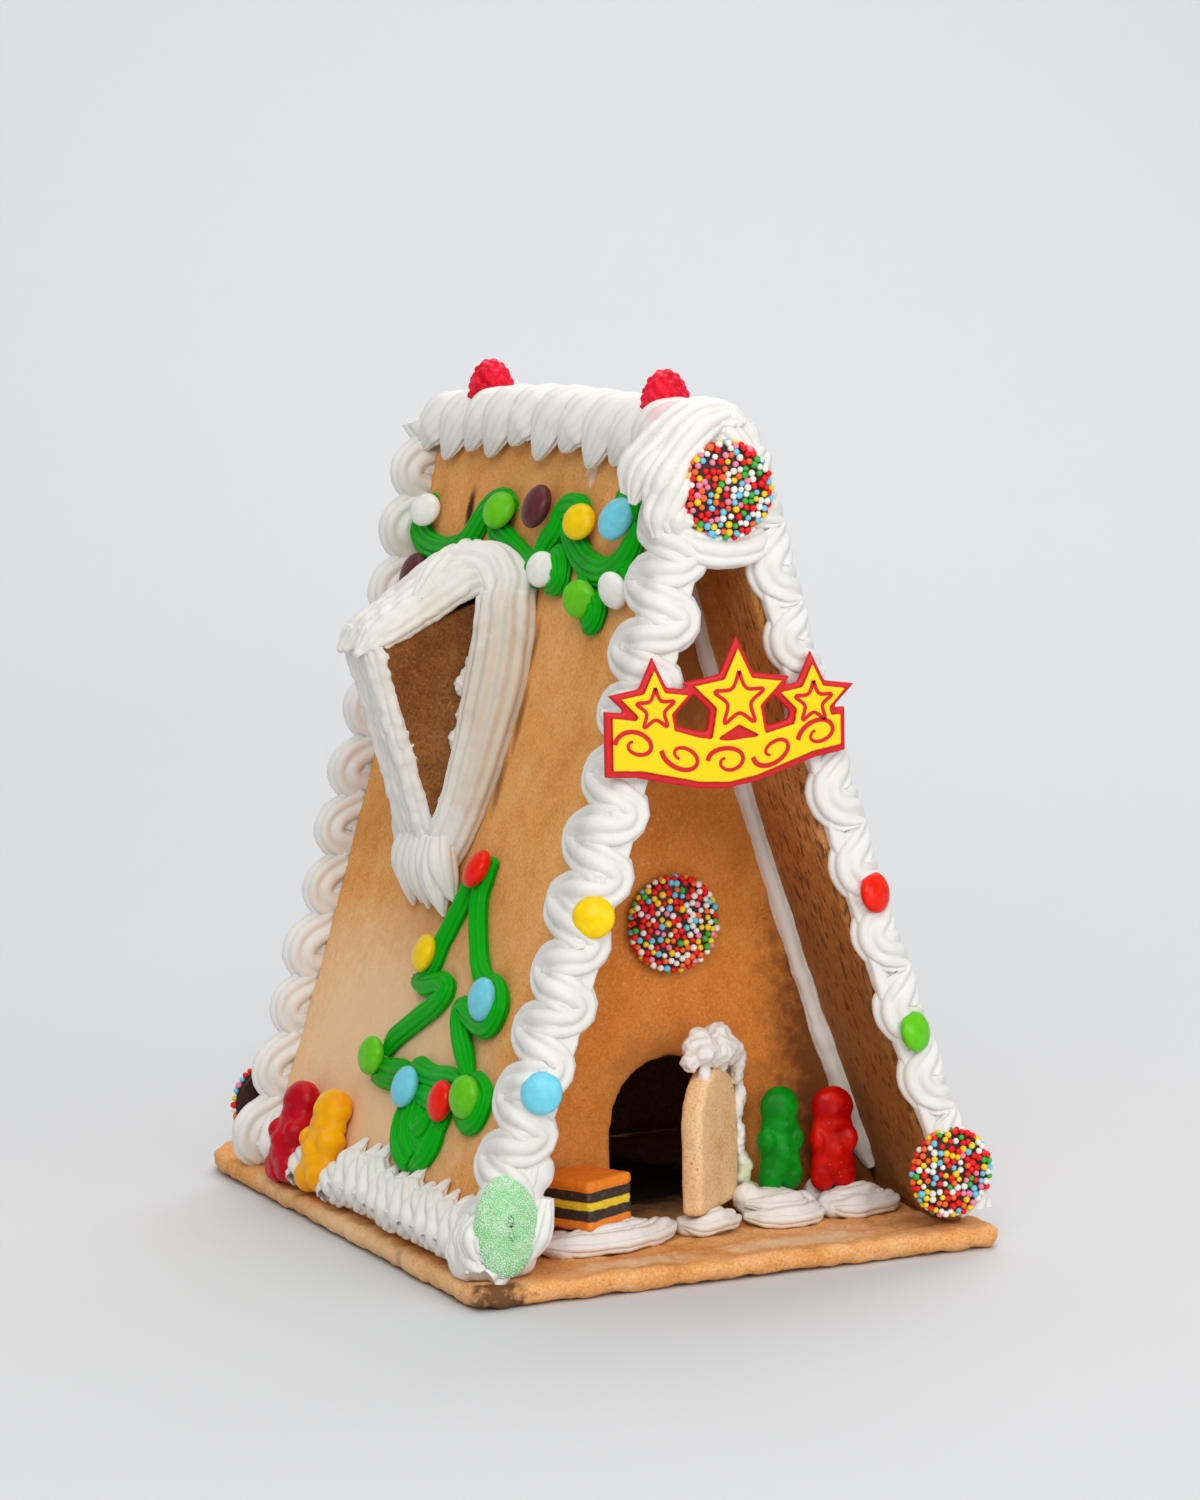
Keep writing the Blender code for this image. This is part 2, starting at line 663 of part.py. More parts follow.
# Paths are (y, up the slope) in millimetres.
GARLAND = (
    ((98, 250), (101, 239), (94, 232), (78, 230.5), (65, 232), (56, 237), (46, 248)),
    ((50, 246.5), (40, 250), (22, 250)),
    ((30, 249), (31.5, 241), (22, 237.2), (12, 234.8), (2, 232.4), (-8, 229), (-22, 229)),
    ((-9, 229), (-10.5, 239), (-16, 244.4), (-19, 251)),
    ((-17, 249.5), (-27, 251), (-39, 250)),
    ((-37, 250), (-31.5, 244), (-35, 239.5), (-43, 235.2), (-55, 232.2), (-65, 233), (-71, 236.5)),
    ((-48, 236), (-50, 223)),
    ((-46, 225), (-56, 222), (-62, 217)),
    ((-62, 234), (-72, 228.5)),
)
TREE = (
    ((-24, 128), (-17, 119), (-13.5, 111.5), (-10, 104), (-6.5, 96), (-3, 87), (6, 80)),
    ((8, 80), (-5, 81), (-18, 83.5)),
    ((-18, 84.5), (-20, 79), (-14, 75), (-7, 70.5), (2, 65), (10, 59), (14, 50)),
    ((16, 49.5), (3, 48.8), (-7, 49.5), (-22, 53)),
    ((-30, 129), (-27.5, 122), (-27.5, 115), (-31, 107), (-36, 100.5), (-42, 94), (-50, 89), (-59, 88.5)),
    ((-56, 89.5), (-64.5, 85), (-65, 77)),
    ((-66, 78.5), (-61, 76), (-52, 75.5), (-38, 78)),
    ((-40, 79), (-40.5, 73), (-46, 68), (-52, 63), (-61, 57)),
    ((-58, 58), (-67, 57), (-74, 52)),
    ((-73.5, 54), (-73, 47), (-65, 44)),
    ((-67, 43.5), (-57, 47.5), (-46, 54.3), (-30, 53.3), (-18, 54)),
)
TRUNK = ((-14, 41.5), (-29, 42), (-44, 41), (-48, 34), (-43, 27), (-33, 24), (-20, 26), (-13, 34))


def strand_mesh(path, order, width):
    """A ribbon of piped icing along a path laid flat: X is level, Y is up the slope, Z is off.

    Ribbons that meet differ a little in height and level, by their order.
    """
    height = STRAND_HEIGHT - 0.11 * MM * order
    profile_curve = bpy.data.curves.new("strand_profile", "CURVE")
    profile_curve.dimensions = "2D"
    spline = profile_curve.splines.new("POLY")
    section = [(-0.5, 0), (0.5, 0), (0.38, 0.8), (0, 1), (-0.38, 0.8)]
    spline.points.add(len(section) - 1)
    for point, (across, rise) in zip(spline.points, section):
        point.co = (across * width, rise * height, 0, 1)
    spline.use_cyclic_u = True
    profile = bpy.data.objects.new("strand_profile", profile_curve)
    curve = bpy.data.curves.new("strand", "CURVE")
    curve.dimensions = "3D"
    curve.twist_mode = "Z_UP"
    curve.bevel_mode = "OBJECT"
    curve.bevel_object = profile
    curve.use_fill_caps = True
    line = curve.splines.new("POLY")
    line.points.add(len(path) - 1)
    for point, (level, up) in zip(line.points, path):
        point.co = (level * MM, up * MM, 0.04 * MM * order, 1)
    guide = bpy.data.objects.new("strand", curve)
    for helper in (profile, guide):
        bpy.context.scene.collection.objects.link(helper)
    mesh = evaluated_mesh(guide)
    for helper in (profile, guide):
        bpy.data.objects.remove(helper, do_unlink=True)
    return mesh


def lay_on_roof(obj):
    """Replaces a flat piece by the same piece bent onto the left roof."""
    mesh = evaluated_mesh(obj)
    obj.modifiers.clear()
    bm = bmesh.new()
    bm.from_mesh(mesh)
    for vert in bm.verts:
        vert.co = on_roof(vert.co.x, vert.co.y, vert.co.z + GAP)
    if bm.calc_volume(signed=True) < 0:
        bmesh.ops.reverse_faces(bm, faces=bm.faces)
    bm.to_mesh(mesh)
    bm.free()
    name, finish = obj.name, obj.data.materials[0].name
    bpy.data.objects.remove(obj, do_unlink=True)
    return add_piece(name, mesh, finish)


def piped_outline(name, paths, width):
    strands = [strand_mesh(path, order, width) for order, path in enumerate(paths)]
    return lay_on_roof(join_meshes(name, strands, "icing_green"))


def tree_trunk():
    bm = bmesh.new()
    face = bm.faces.new([bm.verts.new((y * MM, up * MM, 0)) for y, up in TRUNK])
    grown = bmesh.ops.extrude_face_region(bm, geom=[face])["geom"]
    top = [item for item in grown if isinstance(item, bmesh.types.BMVert)]
    bmesh.ops.translate(bm, vec=(0, 0, 2.6 * MM), verts=top)
    lay_on_roof(add_piece("tree_trunk", mesh_of(bm), "icing_green"))


# ---------------------------------------------------------------- sweets


def lentil(name, finish, place, turn, radius=LENTIL_RADIUS):
    """A sugar-coated lentil: a flattened ball, its short axis along its own Z."""
    bm = bmesh.new()
    bmesh.ops.create_uvsphere(bm, u_segments=10, v_segments=5, radius=radius)
    bmesh.ops.scale(bm, vec=(1, 1, LENTIL_FLATNESS), verts=bm.verts)
    obj = add_piece(name, mesh_of(bm), finish)
    obj.data.shade_smooth()
    obj.matrix_world = Matrix.Translation(place) @ turn
    return obj


# Colour; y, distance up the slope and radius in millimetres; degrees turned towards the front
# and tipped up the slope
GARLAND_LENTILS = (
    ("white", 91.8, 246.1, 6.7, 31, 11),
    ("green", 26.3, 249.6, 7.4, 20, 10),
    ("brown", -4.6, 252.7, 8.4, 2, 8),
    ("yellow", -41.6, 249.4, 6.9, 28, 8),
    ("blue", -70.3, 252.0, 8.2, 13, 13),
    ("white", -19.4, 231.3, 6.7, 26, -1),
    ("green", -55.4, 223.2, 7.2, 33, -15),
    ("white", -79.5, 228.1, 6.9, 18, -25),
    ("brown", 90.6, 222.6, 8.0, 1, 7),
)
TREE_LENTILS = (
    ("red", -26.9, 126.3, 7.7, -9, 14),
    ("yellow", -3.1, 93.2, 7.4, -4, 2),
    ("blue", -59.5, 85.5, 8.0, 4, -6),
    ("green", 15.5, 53.8, 7.5, 7, -7),
    ("blue", -19.6, 48.7, 7.9, 2, -1),
    ("red", -50.4, 49.1, 7.6, -1, -5),
    ("green", -68.1, 53.5, 8.0, 11, -10),
)
# Colour, side, x and z in millimetres of the lentils pressed into the front edges' icing
EDGE_LENTILS = (
    ("yellow", -1, 51, 124.6),
    ("blue", -1, 70.5, 69),
    ("red", 1, 54, 124),
    ("green", 1, 70, 76),
)


def roof_lentils(prefix, rows, piping):
    """Lentils on the left roof, pressed into the green piping under them."""
    laid = []
    for k, (colour, y, up, radius, yaw, pitch) in enumerate(rows, start=1):
        y, up = y * MM, up * MM
        turn = roof_turn(y, up) @ Matrix.Rotation(radians(yaw), 4, "X")
        turn = turn @ Matrix.Rotation(radians(pitch), 4, "Y")
        name = f"{prefix}_lentil_{k}_{colour}"
        place = on_roof(y, up, LENTIL_OFF)
        sweet = lentil(name, f"shell_{colour}", place, turn, radius * MM)
        press(piping, sweet)
        laid.append(sweet)
    return laid


def edge_lentils(edges):
    for k, (colour, side, x, z) in enumerate(EDGE_LENTILS, start=1):
        place = Vector((side * x * MM, ROOF_FRONT - 8.5 * MM, z * MM))
        facing = Vector((side * 0.45, -0.85, 0.2))
        turn = facing.to_track_quat("Z", "X").to_matrix().to_4x4()
        sweet = lentil(f"edge_lentil_{k}_{colour}", f"shell_{colour}", place, turn)
        press(edges[side], sweet)


def freckle(name, place, towards_front, radius=FRECKLE_RADIUS):
    """A chocolate drop with a rounded rim; its flat back is at the given place."""
    bm = bmesh.new()
    bmesh.ops.create_cone(
        bm,
        cap_ends=True,
        segments=20,
        radius1=radius,
        radius2=radius - 1.5 * MM,
        depth=FRECKLE_THICKNESS,
    )
    bmesh.ops.translate(bm, vec=(0, 0, FRECKLE_THICKNESS / 2), verts=bm.verts)
    turn = Matrix.Rotation(pi / 2 if towards_front else -pi / 2, 4, "X")
    obj = add_piece(name, mesh_of(bm), "chocolate")
    obj.matrix_world = Matrix.Translation(place) @ turn
    return obj


# Height up a jelly figure and its half-width there, as shares of its height and half-width
FIGURE_SHAPE = (
    (0.0, 0.50),
    (0.10, 0.66),
    (0.26, 0.84),
    (0.45, 1.0),
    (0.58, 0.90),
    (0.68, 0.62),
    (0.78, 0.68),
    (0.90, 0.56),
    (1.0, 0.24),
)


def jelly_figure(name, finish, matrix):
    """A small standing sweet: legs, round body, neck and head. Its feet are at its origin."""
    side = [(half * FIGURE_WIDTH / 2, up * FIGURE_HEIGHT) for up, half in FIGURE_SHAPE]
    outline = side + [(-x, z) for x, z in reversed(side)]
    obj = add_piece(name, outline_mesh(outline, FIGURE_THICKNESS), finish)
    obj.matrix_world = matrix
    round_edges(obj, 2.2 * MM, angle=60)
    return obj


def jelly_figures(icing):
    for name, finish, y, up in (
        ("jelly_figure_crimson", "jelly_crimson", 59.5, 1.6),
        ("jelly_figure_amber", "jelly_amber", 30.5, 3.6),
    ):
        turn = roof_turn(y * MM, up * MM + FIGURE_HEIGHT / 2)
        upright = Matrix.Rotation(pi / 2, 4, "Z") @ Matrix.Rotation(pi / 2, 4, "X")
        leaning = upright @ Matrix.Rotation(radians(8), 4, "Y")
        place = on_roof(y * MM, up * MM, FIGURE_THICKNESS / 2 + 1 * MM)
        press(icing, jelly_figure(name, finish, Matrix.Translation(place) @ turn @ leaning))
    for name, finish, x, y, z, turn in (
        ("jelly_figure_green", "jelly_green", 37.3, -71, 17.4, 4),
        ("jelly_figure_red", "jelly_red", 56.2, -73.5, 16.2, -10),
    ):
        place = Vector((x * MM, y * MM, z * MM))
        turning = Matrix.Rotation(radians(turn), 4, "Z")
        jelly_figure(name, finish, Matrix.Translation(place) @ turning)


def raspberry(name, y, base):
    """A domed jelly sweet standing in the ridge icing."""
    bm = bmesh.new()
    bmesh.ops.create_icosphere(bm, subdivisions=2, radius=RASPBERRY_RADIUS)
    bmesh.ops.scale(bm, vec=(1, 1, 1.5), verts=bm.verts)
    bmesh.ops.bisect_plane(
        bm,
        geom=[*bm.verts, *bm.edges, *bm.faces],
        plane_co=(0, 0, 0),
        plane_no=(0, 0, -1),
        clear_outer=True,
    )
    bmesh.ops.holes_fill(bm, edges=[e for e in bm.edges if e.is_boundary])
    obj = add_piece(name, mesh_of(bm), "jelly_pink")
    obj.location = (0, y, base)
    return obj


def liquorice_cube():
    bm = bmesh.new()
    bmesh.ops.create_cube(bm, size=1)
    bmesh.ops.scale(bm, vec=(CUBE_SIDE, CUBE_SIDE, CUBE_HEIGHT), verts=bm.verts)
    obj = add_piece("liquorice_cube", mesh_of(bm), "liquorice")
    obj.location = (-39 * MM, -77.5 * MM, 15.7 * MM + CUBE_HEIGHT / 2)
    obj.rotation_euler.z = radians(27)
    round_edges(obj, 1 * MM)


def sugar_oval(icing):
    """The big sugared jelly leaning on the front left foot."""
    bm = bmesh.new()
    bmesh.ops.create_uvsphere(bm, u_segments=12, v_segments=6, radius=0.5)
    bmesh.ops.scale(bm, vec=(OVAL_WIDTH, OVAL_THICKNESS, OVAL_HEIGHT), verts=bm.verts)
    obj = add_piece("sugar_oval", mesh_of(bm), "sugared_green")
    obj.location = (-83.3 * MM, -114 * MM, FLOOR + OVAL_HEIGHT / 2 + 0.3 * MM)
    obj.rotation_euler = (radians(-3), radians(3), 0)
    press(icing, obj)


# ---------------------------------------------------------------- plaque

# Centre x and z, and outer radius, of the plaque's stars, in millimetres
STARS = ((-30, 191, 12.5), (0, 192.5, 16.5), (27, 190, 12.5))
BAND_MIDDLE = 176.5 * MM
BAND_RISE = 4 * MM
BAND_FROM, BAND_TO = -45 * MM, 37 * MM


def star_outline(x, z, radius):
    points = []
    for k in range(10):
        reach = radius if k % 2 == 0 else 0.5 * radius
        angle = pi / 2 + k * pi / 5
        points.append(((x + reach * cos(angle)) * MM, (z + reach * sin(angle)) * MM))
    return points


def band_outline(grow):
    """A swooping ribbon, thick on the left and tapering to the right."""
    upper, lower = [], []
    for s in heights(0, 1, 9):
        x = BAND_FROM - grow + (BAND_TO - BAND_FROM + 2 * grow) * s
        middle = BAND_MIDDLE + BAND_RISE * cos(2 * pi * s)
        half = (8.5 - 3.5 * s) * MM + grow
        upper.append((x, middle + half))
        lower.append((x, middle - half))
    return upper + lower[::-1]


def plaque():
    """A red sign with a rim round yellow stars over a yellow ribbon."""
    y = PLAQUE_Y - PLAQUE_THICKNESS / 2
    grown = [star_outline(x, z, radius + 4) for x, z, radius in STARS]
    backs = [outline_mesh(points, PLAQUE_THICKNESS) for points in [band_outline(2.2 * MM), *grown]]
    y_relief = PLAQUE_Y - PLAQUE_THICKNESS - GAP - PLAQUE_RELIEF / 2
    shapes = [band_outline(0)] + [star_outline(*star) for star in STARS]
    reliefs = [outline_mesh(points, PLAQUE_RELIEF) for points in shapes]
    for meshes, at in ((backs, y), (reliefs, y_relief)):
        for mesh in meshes:
            mesh.transform(Matrix.Translation((0, at, 0)))
    join_meshes("plaque_backing", backs, "plaque_red")
    join_meshes("plaque_relief", reliefs, "plaque_yellow")


# ---------------------------------------------------------------- assembly


def build():
    board()
    roof_panel("roof_left", -1)
    roof_panel("roof_right", 1)
    gable("gable_front", GABLE_FRONT, with_doorway=True)
    gable("gable_back", GABLE_BACK - GABLE_THICKNESS, with_doorway=False)
    door_piece = door()
    dormer_cheeks()
    dormer_icing()

    top_span = (240 * MM, EDGE_TOP)
    foot_span = (FLOOR, 50 * MM)
    edges = {
        -1: edge_icing("icing_front_left", -1, True, 0.2, [top_span]),
        1: edge_icing("icing_front_right", 1, True, 0.7, [top_span, foot_span]),
    }
    back_left = edge_icing("icing_back_left", -1, False, 0.45)
    edge_icing("icing_back_right", 1, False, 0.95)
    ridge = ridge_icing()
    front, back = ROOF_FRONT + 33 * MM, ROOF_BACK_FOOT
    base_left = base_icing("icing_base_left", -1, front, back, bed=(20 * MM, 76 * MM))
    base_icing("icing_base_right", 1, front, back)
    seam_icing("icing_seam_left", -1)
    seam_icing("icing_seam_right", 1)
    dollop("icing_bed_left", (-35 * MM, -80 * MM), (28 * MM, 14 * MM), 8 * MM, 0.3, flat=6 * MM)
    dollop("icing_bed_door", (5 * MM, -80 * MM), (11 * MM, 8 * MM), 6 * MM, 0.6, 5.4 * MM, ribs=9)
    dollop("icing_bed_mid", (33 * MM, -77 * MM), (14.5 * MM, 13 * MM), 9 * MM, flat=7.6 * MM)
    dollop("icing_bed_right", (63 * MM, -77 * MM), (14.5 * MM, 10 * MM), 8 * MM, flat=6.5 * MM)
    door_cap(door_piece)

    garland = piped_outline("garland", GARLAND, GARLAND_WIDTH)
    tree = piped_outline("tree_outline", TREE, TREE_WIDTH)
    tree_trunk()
    garland_sweets = roof_lentils("garland", GARLAND_LENTILS, garland)
    for at_front_edge in (garland_sweets[4], garland_sweets[7]):
        press(edges[-1], at_front_edge)
    roof_lentils("tree", TREE_LENTILS, tree)
    edge_lentils(edges)
    freckle("freckle_top", (-1 * MM, FRECKLE_PLANE, TOP_FRECKLE_Z), True)
    freckle("freckle_window", (2.5 * MM, GABLE_FRONT - GAP, 111 * MM), True, 16.5 * MM)
    freckle("freckle_foot_right", (79 * MM, FRECKLE_PLANE, 27.5 * MM), True, 15 * MM)
    back_freckle = freckle("freckle_foot_back", (-80 * MM, 107 * MM, 28 * MM), False, 15 * MM)
    press(back_left, back_freckle)
    jelly_figures(base_left)
    for name, y in (("raspberry_sweet_front", -68 * MM), ("raspberry_sweet_back", 78 * MM)):
        press(ridge, raspberry(name, y, 284 * MM))
    liquorice_cube()
    sugar_oval(edges[-1])
    plaque()


clear_scene()
MATERIALS = make_materials()
HOUSE = new_collection("gingerbread_house")
CUTTERS = new_collection("cutters")
build()
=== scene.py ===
"""Visual model of an iced gingerbread house on its gingerbread board.

Lengths are in metres, +Z is up and -Y is the front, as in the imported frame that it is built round.
Each sub-assembly is a class with its sizes as fields. Each finish is a frozen dataclass.
"""

from __future__ import annotations

import json
import logging
from collections.abc import Callable, Iterable, Sequence
from dataclasses import dataclass, field
from enum import Enum
from math import atan, atan2, cos, exp, pi, radians, sin, sqrt, tan

import bmesh
import bpy
import numpy as np
from mathutils import Matrix, Vector, noise

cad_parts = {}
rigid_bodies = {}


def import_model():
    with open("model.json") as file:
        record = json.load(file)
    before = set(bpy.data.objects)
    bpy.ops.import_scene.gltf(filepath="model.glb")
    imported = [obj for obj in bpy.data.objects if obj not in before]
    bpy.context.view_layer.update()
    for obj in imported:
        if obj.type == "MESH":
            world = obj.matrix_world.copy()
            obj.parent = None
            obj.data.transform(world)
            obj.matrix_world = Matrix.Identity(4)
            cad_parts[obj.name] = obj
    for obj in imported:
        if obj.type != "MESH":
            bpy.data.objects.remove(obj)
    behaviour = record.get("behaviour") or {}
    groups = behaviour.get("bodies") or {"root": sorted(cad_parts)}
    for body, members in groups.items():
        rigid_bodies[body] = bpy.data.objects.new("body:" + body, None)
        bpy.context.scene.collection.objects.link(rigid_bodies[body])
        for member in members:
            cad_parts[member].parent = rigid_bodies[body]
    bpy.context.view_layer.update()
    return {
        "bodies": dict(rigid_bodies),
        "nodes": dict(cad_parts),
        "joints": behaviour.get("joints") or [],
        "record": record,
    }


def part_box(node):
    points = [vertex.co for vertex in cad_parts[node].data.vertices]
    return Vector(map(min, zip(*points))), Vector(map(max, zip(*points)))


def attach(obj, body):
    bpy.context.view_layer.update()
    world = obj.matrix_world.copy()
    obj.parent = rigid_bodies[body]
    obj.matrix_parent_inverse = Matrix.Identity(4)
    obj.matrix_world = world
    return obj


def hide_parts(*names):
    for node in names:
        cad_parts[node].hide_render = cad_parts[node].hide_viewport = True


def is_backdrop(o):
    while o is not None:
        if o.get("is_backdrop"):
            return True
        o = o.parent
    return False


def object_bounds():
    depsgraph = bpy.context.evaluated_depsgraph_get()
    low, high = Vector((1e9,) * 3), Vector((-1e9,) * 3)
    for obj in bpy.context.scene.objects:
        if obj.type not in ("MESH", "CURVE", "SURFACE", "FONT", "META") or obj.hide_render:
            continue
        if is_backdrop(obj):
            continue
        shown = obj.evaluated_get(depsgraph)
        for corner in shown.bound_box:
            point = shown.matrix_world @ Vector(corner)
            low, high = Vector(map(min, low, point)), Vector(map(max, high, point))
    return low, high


MM = 0.001
LOG = logging.getLogger("gingerbread_house")
Colour = tuple[float, float, float]


class Side(Enum):
    """A side of the house, as the sign of X."""

    LEFT = -1
    RIGHT = 1


# ---------------------------------------------------------------- node graphs


class Value:
    """A node's output socket, with arithmetic that adds Math nodes."""

    def __init__(self, graph: Graph, socket: bpy.types.NodeSocket) -> None:
        """Wraps the socket.

        Args:
            graph: The graph that the socket is in.
            socket: An output socket.
        """
        self.graph = graph
        self.socket = socket

    def _math(self, operation: str, first: object, second: object = 0.0) -> Value:
        """Adds a Math node."""
        return self.graph.node("ShaderNodeMath", {"operation": operation}, {0: first, 1: second})

    def __add__(self, other: object) -> Value:
        """self + other."""
        return self._math("ADD", self, other)

    def __sub__(self, other: object) -> Value:
        """self - other."""
        return self._math("SUBTRACT", self, other)

    def __rsub__(self, other: object) -> Value:
        """other - self."""
        return self._math("SUBTRACT", other, self)

    def __mul__(self, other: object) -> Value:
        """self * other."""
        return self._math("MULTIPLY", self, other)

    def __truediv__(self, other: object) -> Value:
        """self / other."""
        return self._math("DIVIDE", self, other)

    def __rtruediv__(self, other: object) -> Value:
        """other / self."""
        return self._math("DIVIDE", other, self)

    __radd__ = __add__
    __rmul__ = __mul__

    def above(self, edge: float, soft: float) -> Value:
        """0 below the edge and 1 a soft distance above it.

        Args:
            edge: Where the result leaves 0.
            soft: How far above the edge it reaches 1.

        Returns:
            The clamped ramp.
        """
        settings = {"clamp": True}
        sockets = {"Value": self, "From Min": edge, "From Max": edge + soft}
        return self.graph.node("ShaderNodeMapRange", settings, sockets)


class Graph:
    """A node tree, and the one way in which nodes are added to it."""

    def __init__(self, tree: bpy.types.NodeTree) -> None:
        """Wraps the tree.

        Args:
            tree: A shader or geometry node tree.
        """
        self.tree = tree

    def node(
        self,
        kind: str,
        settings: dict[str, object] | None = None,
        sockets: dict[str | int, object] | None = None,
        output: str | int = 0,
    ) -> Value:
        """Adds a node.

        Args:
            kind: The node's type.
            settings: Its properties, set first. "stops" are a ramp's stops.
            sockets: Values or links for its input sockets, by name or number.
            output: The output socket to return.

        Returns:
            The chosen output.
        """
        made = self.tree.nodes.new(kind)
        for name, value in (settings or {}).items():
            if name == "stops":
                self._set_stops(made.color_ramp, value)
            else:
                setattr(made, name, value)
        for key, value in (sockets or {}).items():
            if isinstance(value, Value):
                self.tree.links.new(value.socket, made.inputs[key])
            else:
                made.inputs[key].default_value = value
        return Value(self, made.outputs[output]) if made.outputs else Value(self, made.inputs[0])

    @staticmethod
    def _set_stops(ramp: bpy.types.ColorRamp, stops: Sequence[tuple[float, Colour]]) -> None:
        """Gives a ramp its stops."""
        while len(ramp.elements) < len(stops):
            ramp.elements.new(1.0)
        for element, (place, colour) in zip(ramp.elements, stops):
            element.position = place
            element.color = (*colour, 1.0)

    def vector(self, operation: str, *parts: object, output: str | int = 0) -> Value:
        """Adds a Vector Math node.

        Args:
            operation: Its operation.
            *parts: Its inputs in order.
            output: "Vector" or "Value".

        Returns:
            The chosen output.
        """
        sockets = dict(enumerate(parts))
        return self.node("ShaderNodeVectorMath", {"operation": operation}, sockets, output)


class ShaderGraph(Graph):
    """The node tree of one material, with the textures that the finishes share."""

    def __init__(self, name: str) -> None:
        """Makes the material.

        Args:
            name: The material's name.
        """
        self.material = bpy.data.materials.new(name)
        self.material.use_nodes = True
        super().__init__(self.material.node_tree)
        self.shader = self.tree.nodes["Principled BSDF"]
        self.place = self.node("ShaderNodeTexCoord", output="Object")

    def grain(
        self, scale: float, detail: float = 3.0, stretch: Colour = (1, 1, 1), distortion: float = 0.0
    ) -> Value:
        """Cloudy noise between 0 and 1.

        Args:
            scale: Features per metre.
            detail: Octaves.
            stretch: Factor on the scale along each axis.
            distortion: How much the clouds are bent.

        Returns:
            The noise.
        """
        place = self.place if stretch == (1, 1, 1) else self.vector("MULTIPLY", self.place, stretch)
        sockets = {"Vector": place, "Scale": scale, "Detail": detail, "Distortion": distortion}
        return self.node("ShaderNodeTexNoise", None, sockets)

    def cells(self, scale: float) -> Value:
        """Distance to the nearest of scattered points, for pits and grains."""
        return self.node("ShaderNodeTexVoronoi", None, {"Vector": self.place, "Scale": scale})

    def mix(self, factor: object, first: object, second: object) -> Value:
        """Blends two colours.

        Args:
            factor: 0 for the first, 1 for the second.
            first: A colour or a link.
            second: A colour or a link.

        Returns:
            The blended colour.
        """
        sockets = {
            0: factor,
            6: (*first, 1.0) if isinstance(first, tuple) else first,
            7: (*second, 1.0) if isinstance(second, tuple) else second,
        }
        return self.node("ShaderNodeMix", {"data_type": "RGBA"}, sockets, 2)

    def ramp(self, factor: Value, stops: Sequence[tuple[float, Colour]]) -> Value:
        """A colour ramp over the factor."""
        return self.node("ShaderNodeValToRGB", {"stops": stops}, {0: factor})

    def spot(self, centre: Colour, reach: Colour, ragged: float = 0.35) -> Value:
        """A soft blot, 1 at its centre and 0 at its reach, with a ragged rim.

        Args:
            centre: Its centre.
            reach: How far it goes along each axis.
            ragged: How much noise breaks its rim.

        Returns:
            The mask.
        """
        offset = self.vector("DIVIDE", self.vector("SUBTRACT", self.place, centre), reach)
        away = self.vector("LENGTH", offset, output="Value")
        return (1 - away + (self.grain(260, 4) - 0.5) * (2 * ragged)).above(0.0, 0.5)

    def set(self, **sockets: object) -> None:
        """Sets or links sockets of the Principled shader, by names with _ for spaces."""
        for key, value in sockets.items():
            socket = self.shader.inputs[key.replace("_", " ")]
            if isinstance(value, Value):
                self.tree.links.new(value.socket, socket)
            elif isinstance(value, tuple) and socket.type == "RGBA":
                socket.default_value = (*value, 1.0)
            else:
                socket.default_value = value

    def bump(self, height: Value, distance: float, strength: float = 1.0) -> None:
        """Feeds a Bump node into the shader's normal.

        Args:
            height: The relief, 0 to 1.
            distance: Its height in metres.
            strength: The node's strength.
        """
        sockets = {"Strength": strength, "Distance": distance, "Height": height}
        self.set(Normal=self.node("ShaderNodeBump", None, sockets))


# ---------------------------------------------------------------- finishes


@dataclass(frozen=True)
class Spot:
    """A stain, burn or smear on a finish, or a patch of painted shade or painted light."""

    centre: Colour
    reach: Colour
    colour: Colour
    strength: float = 0.8
    ragged: float = 0.35


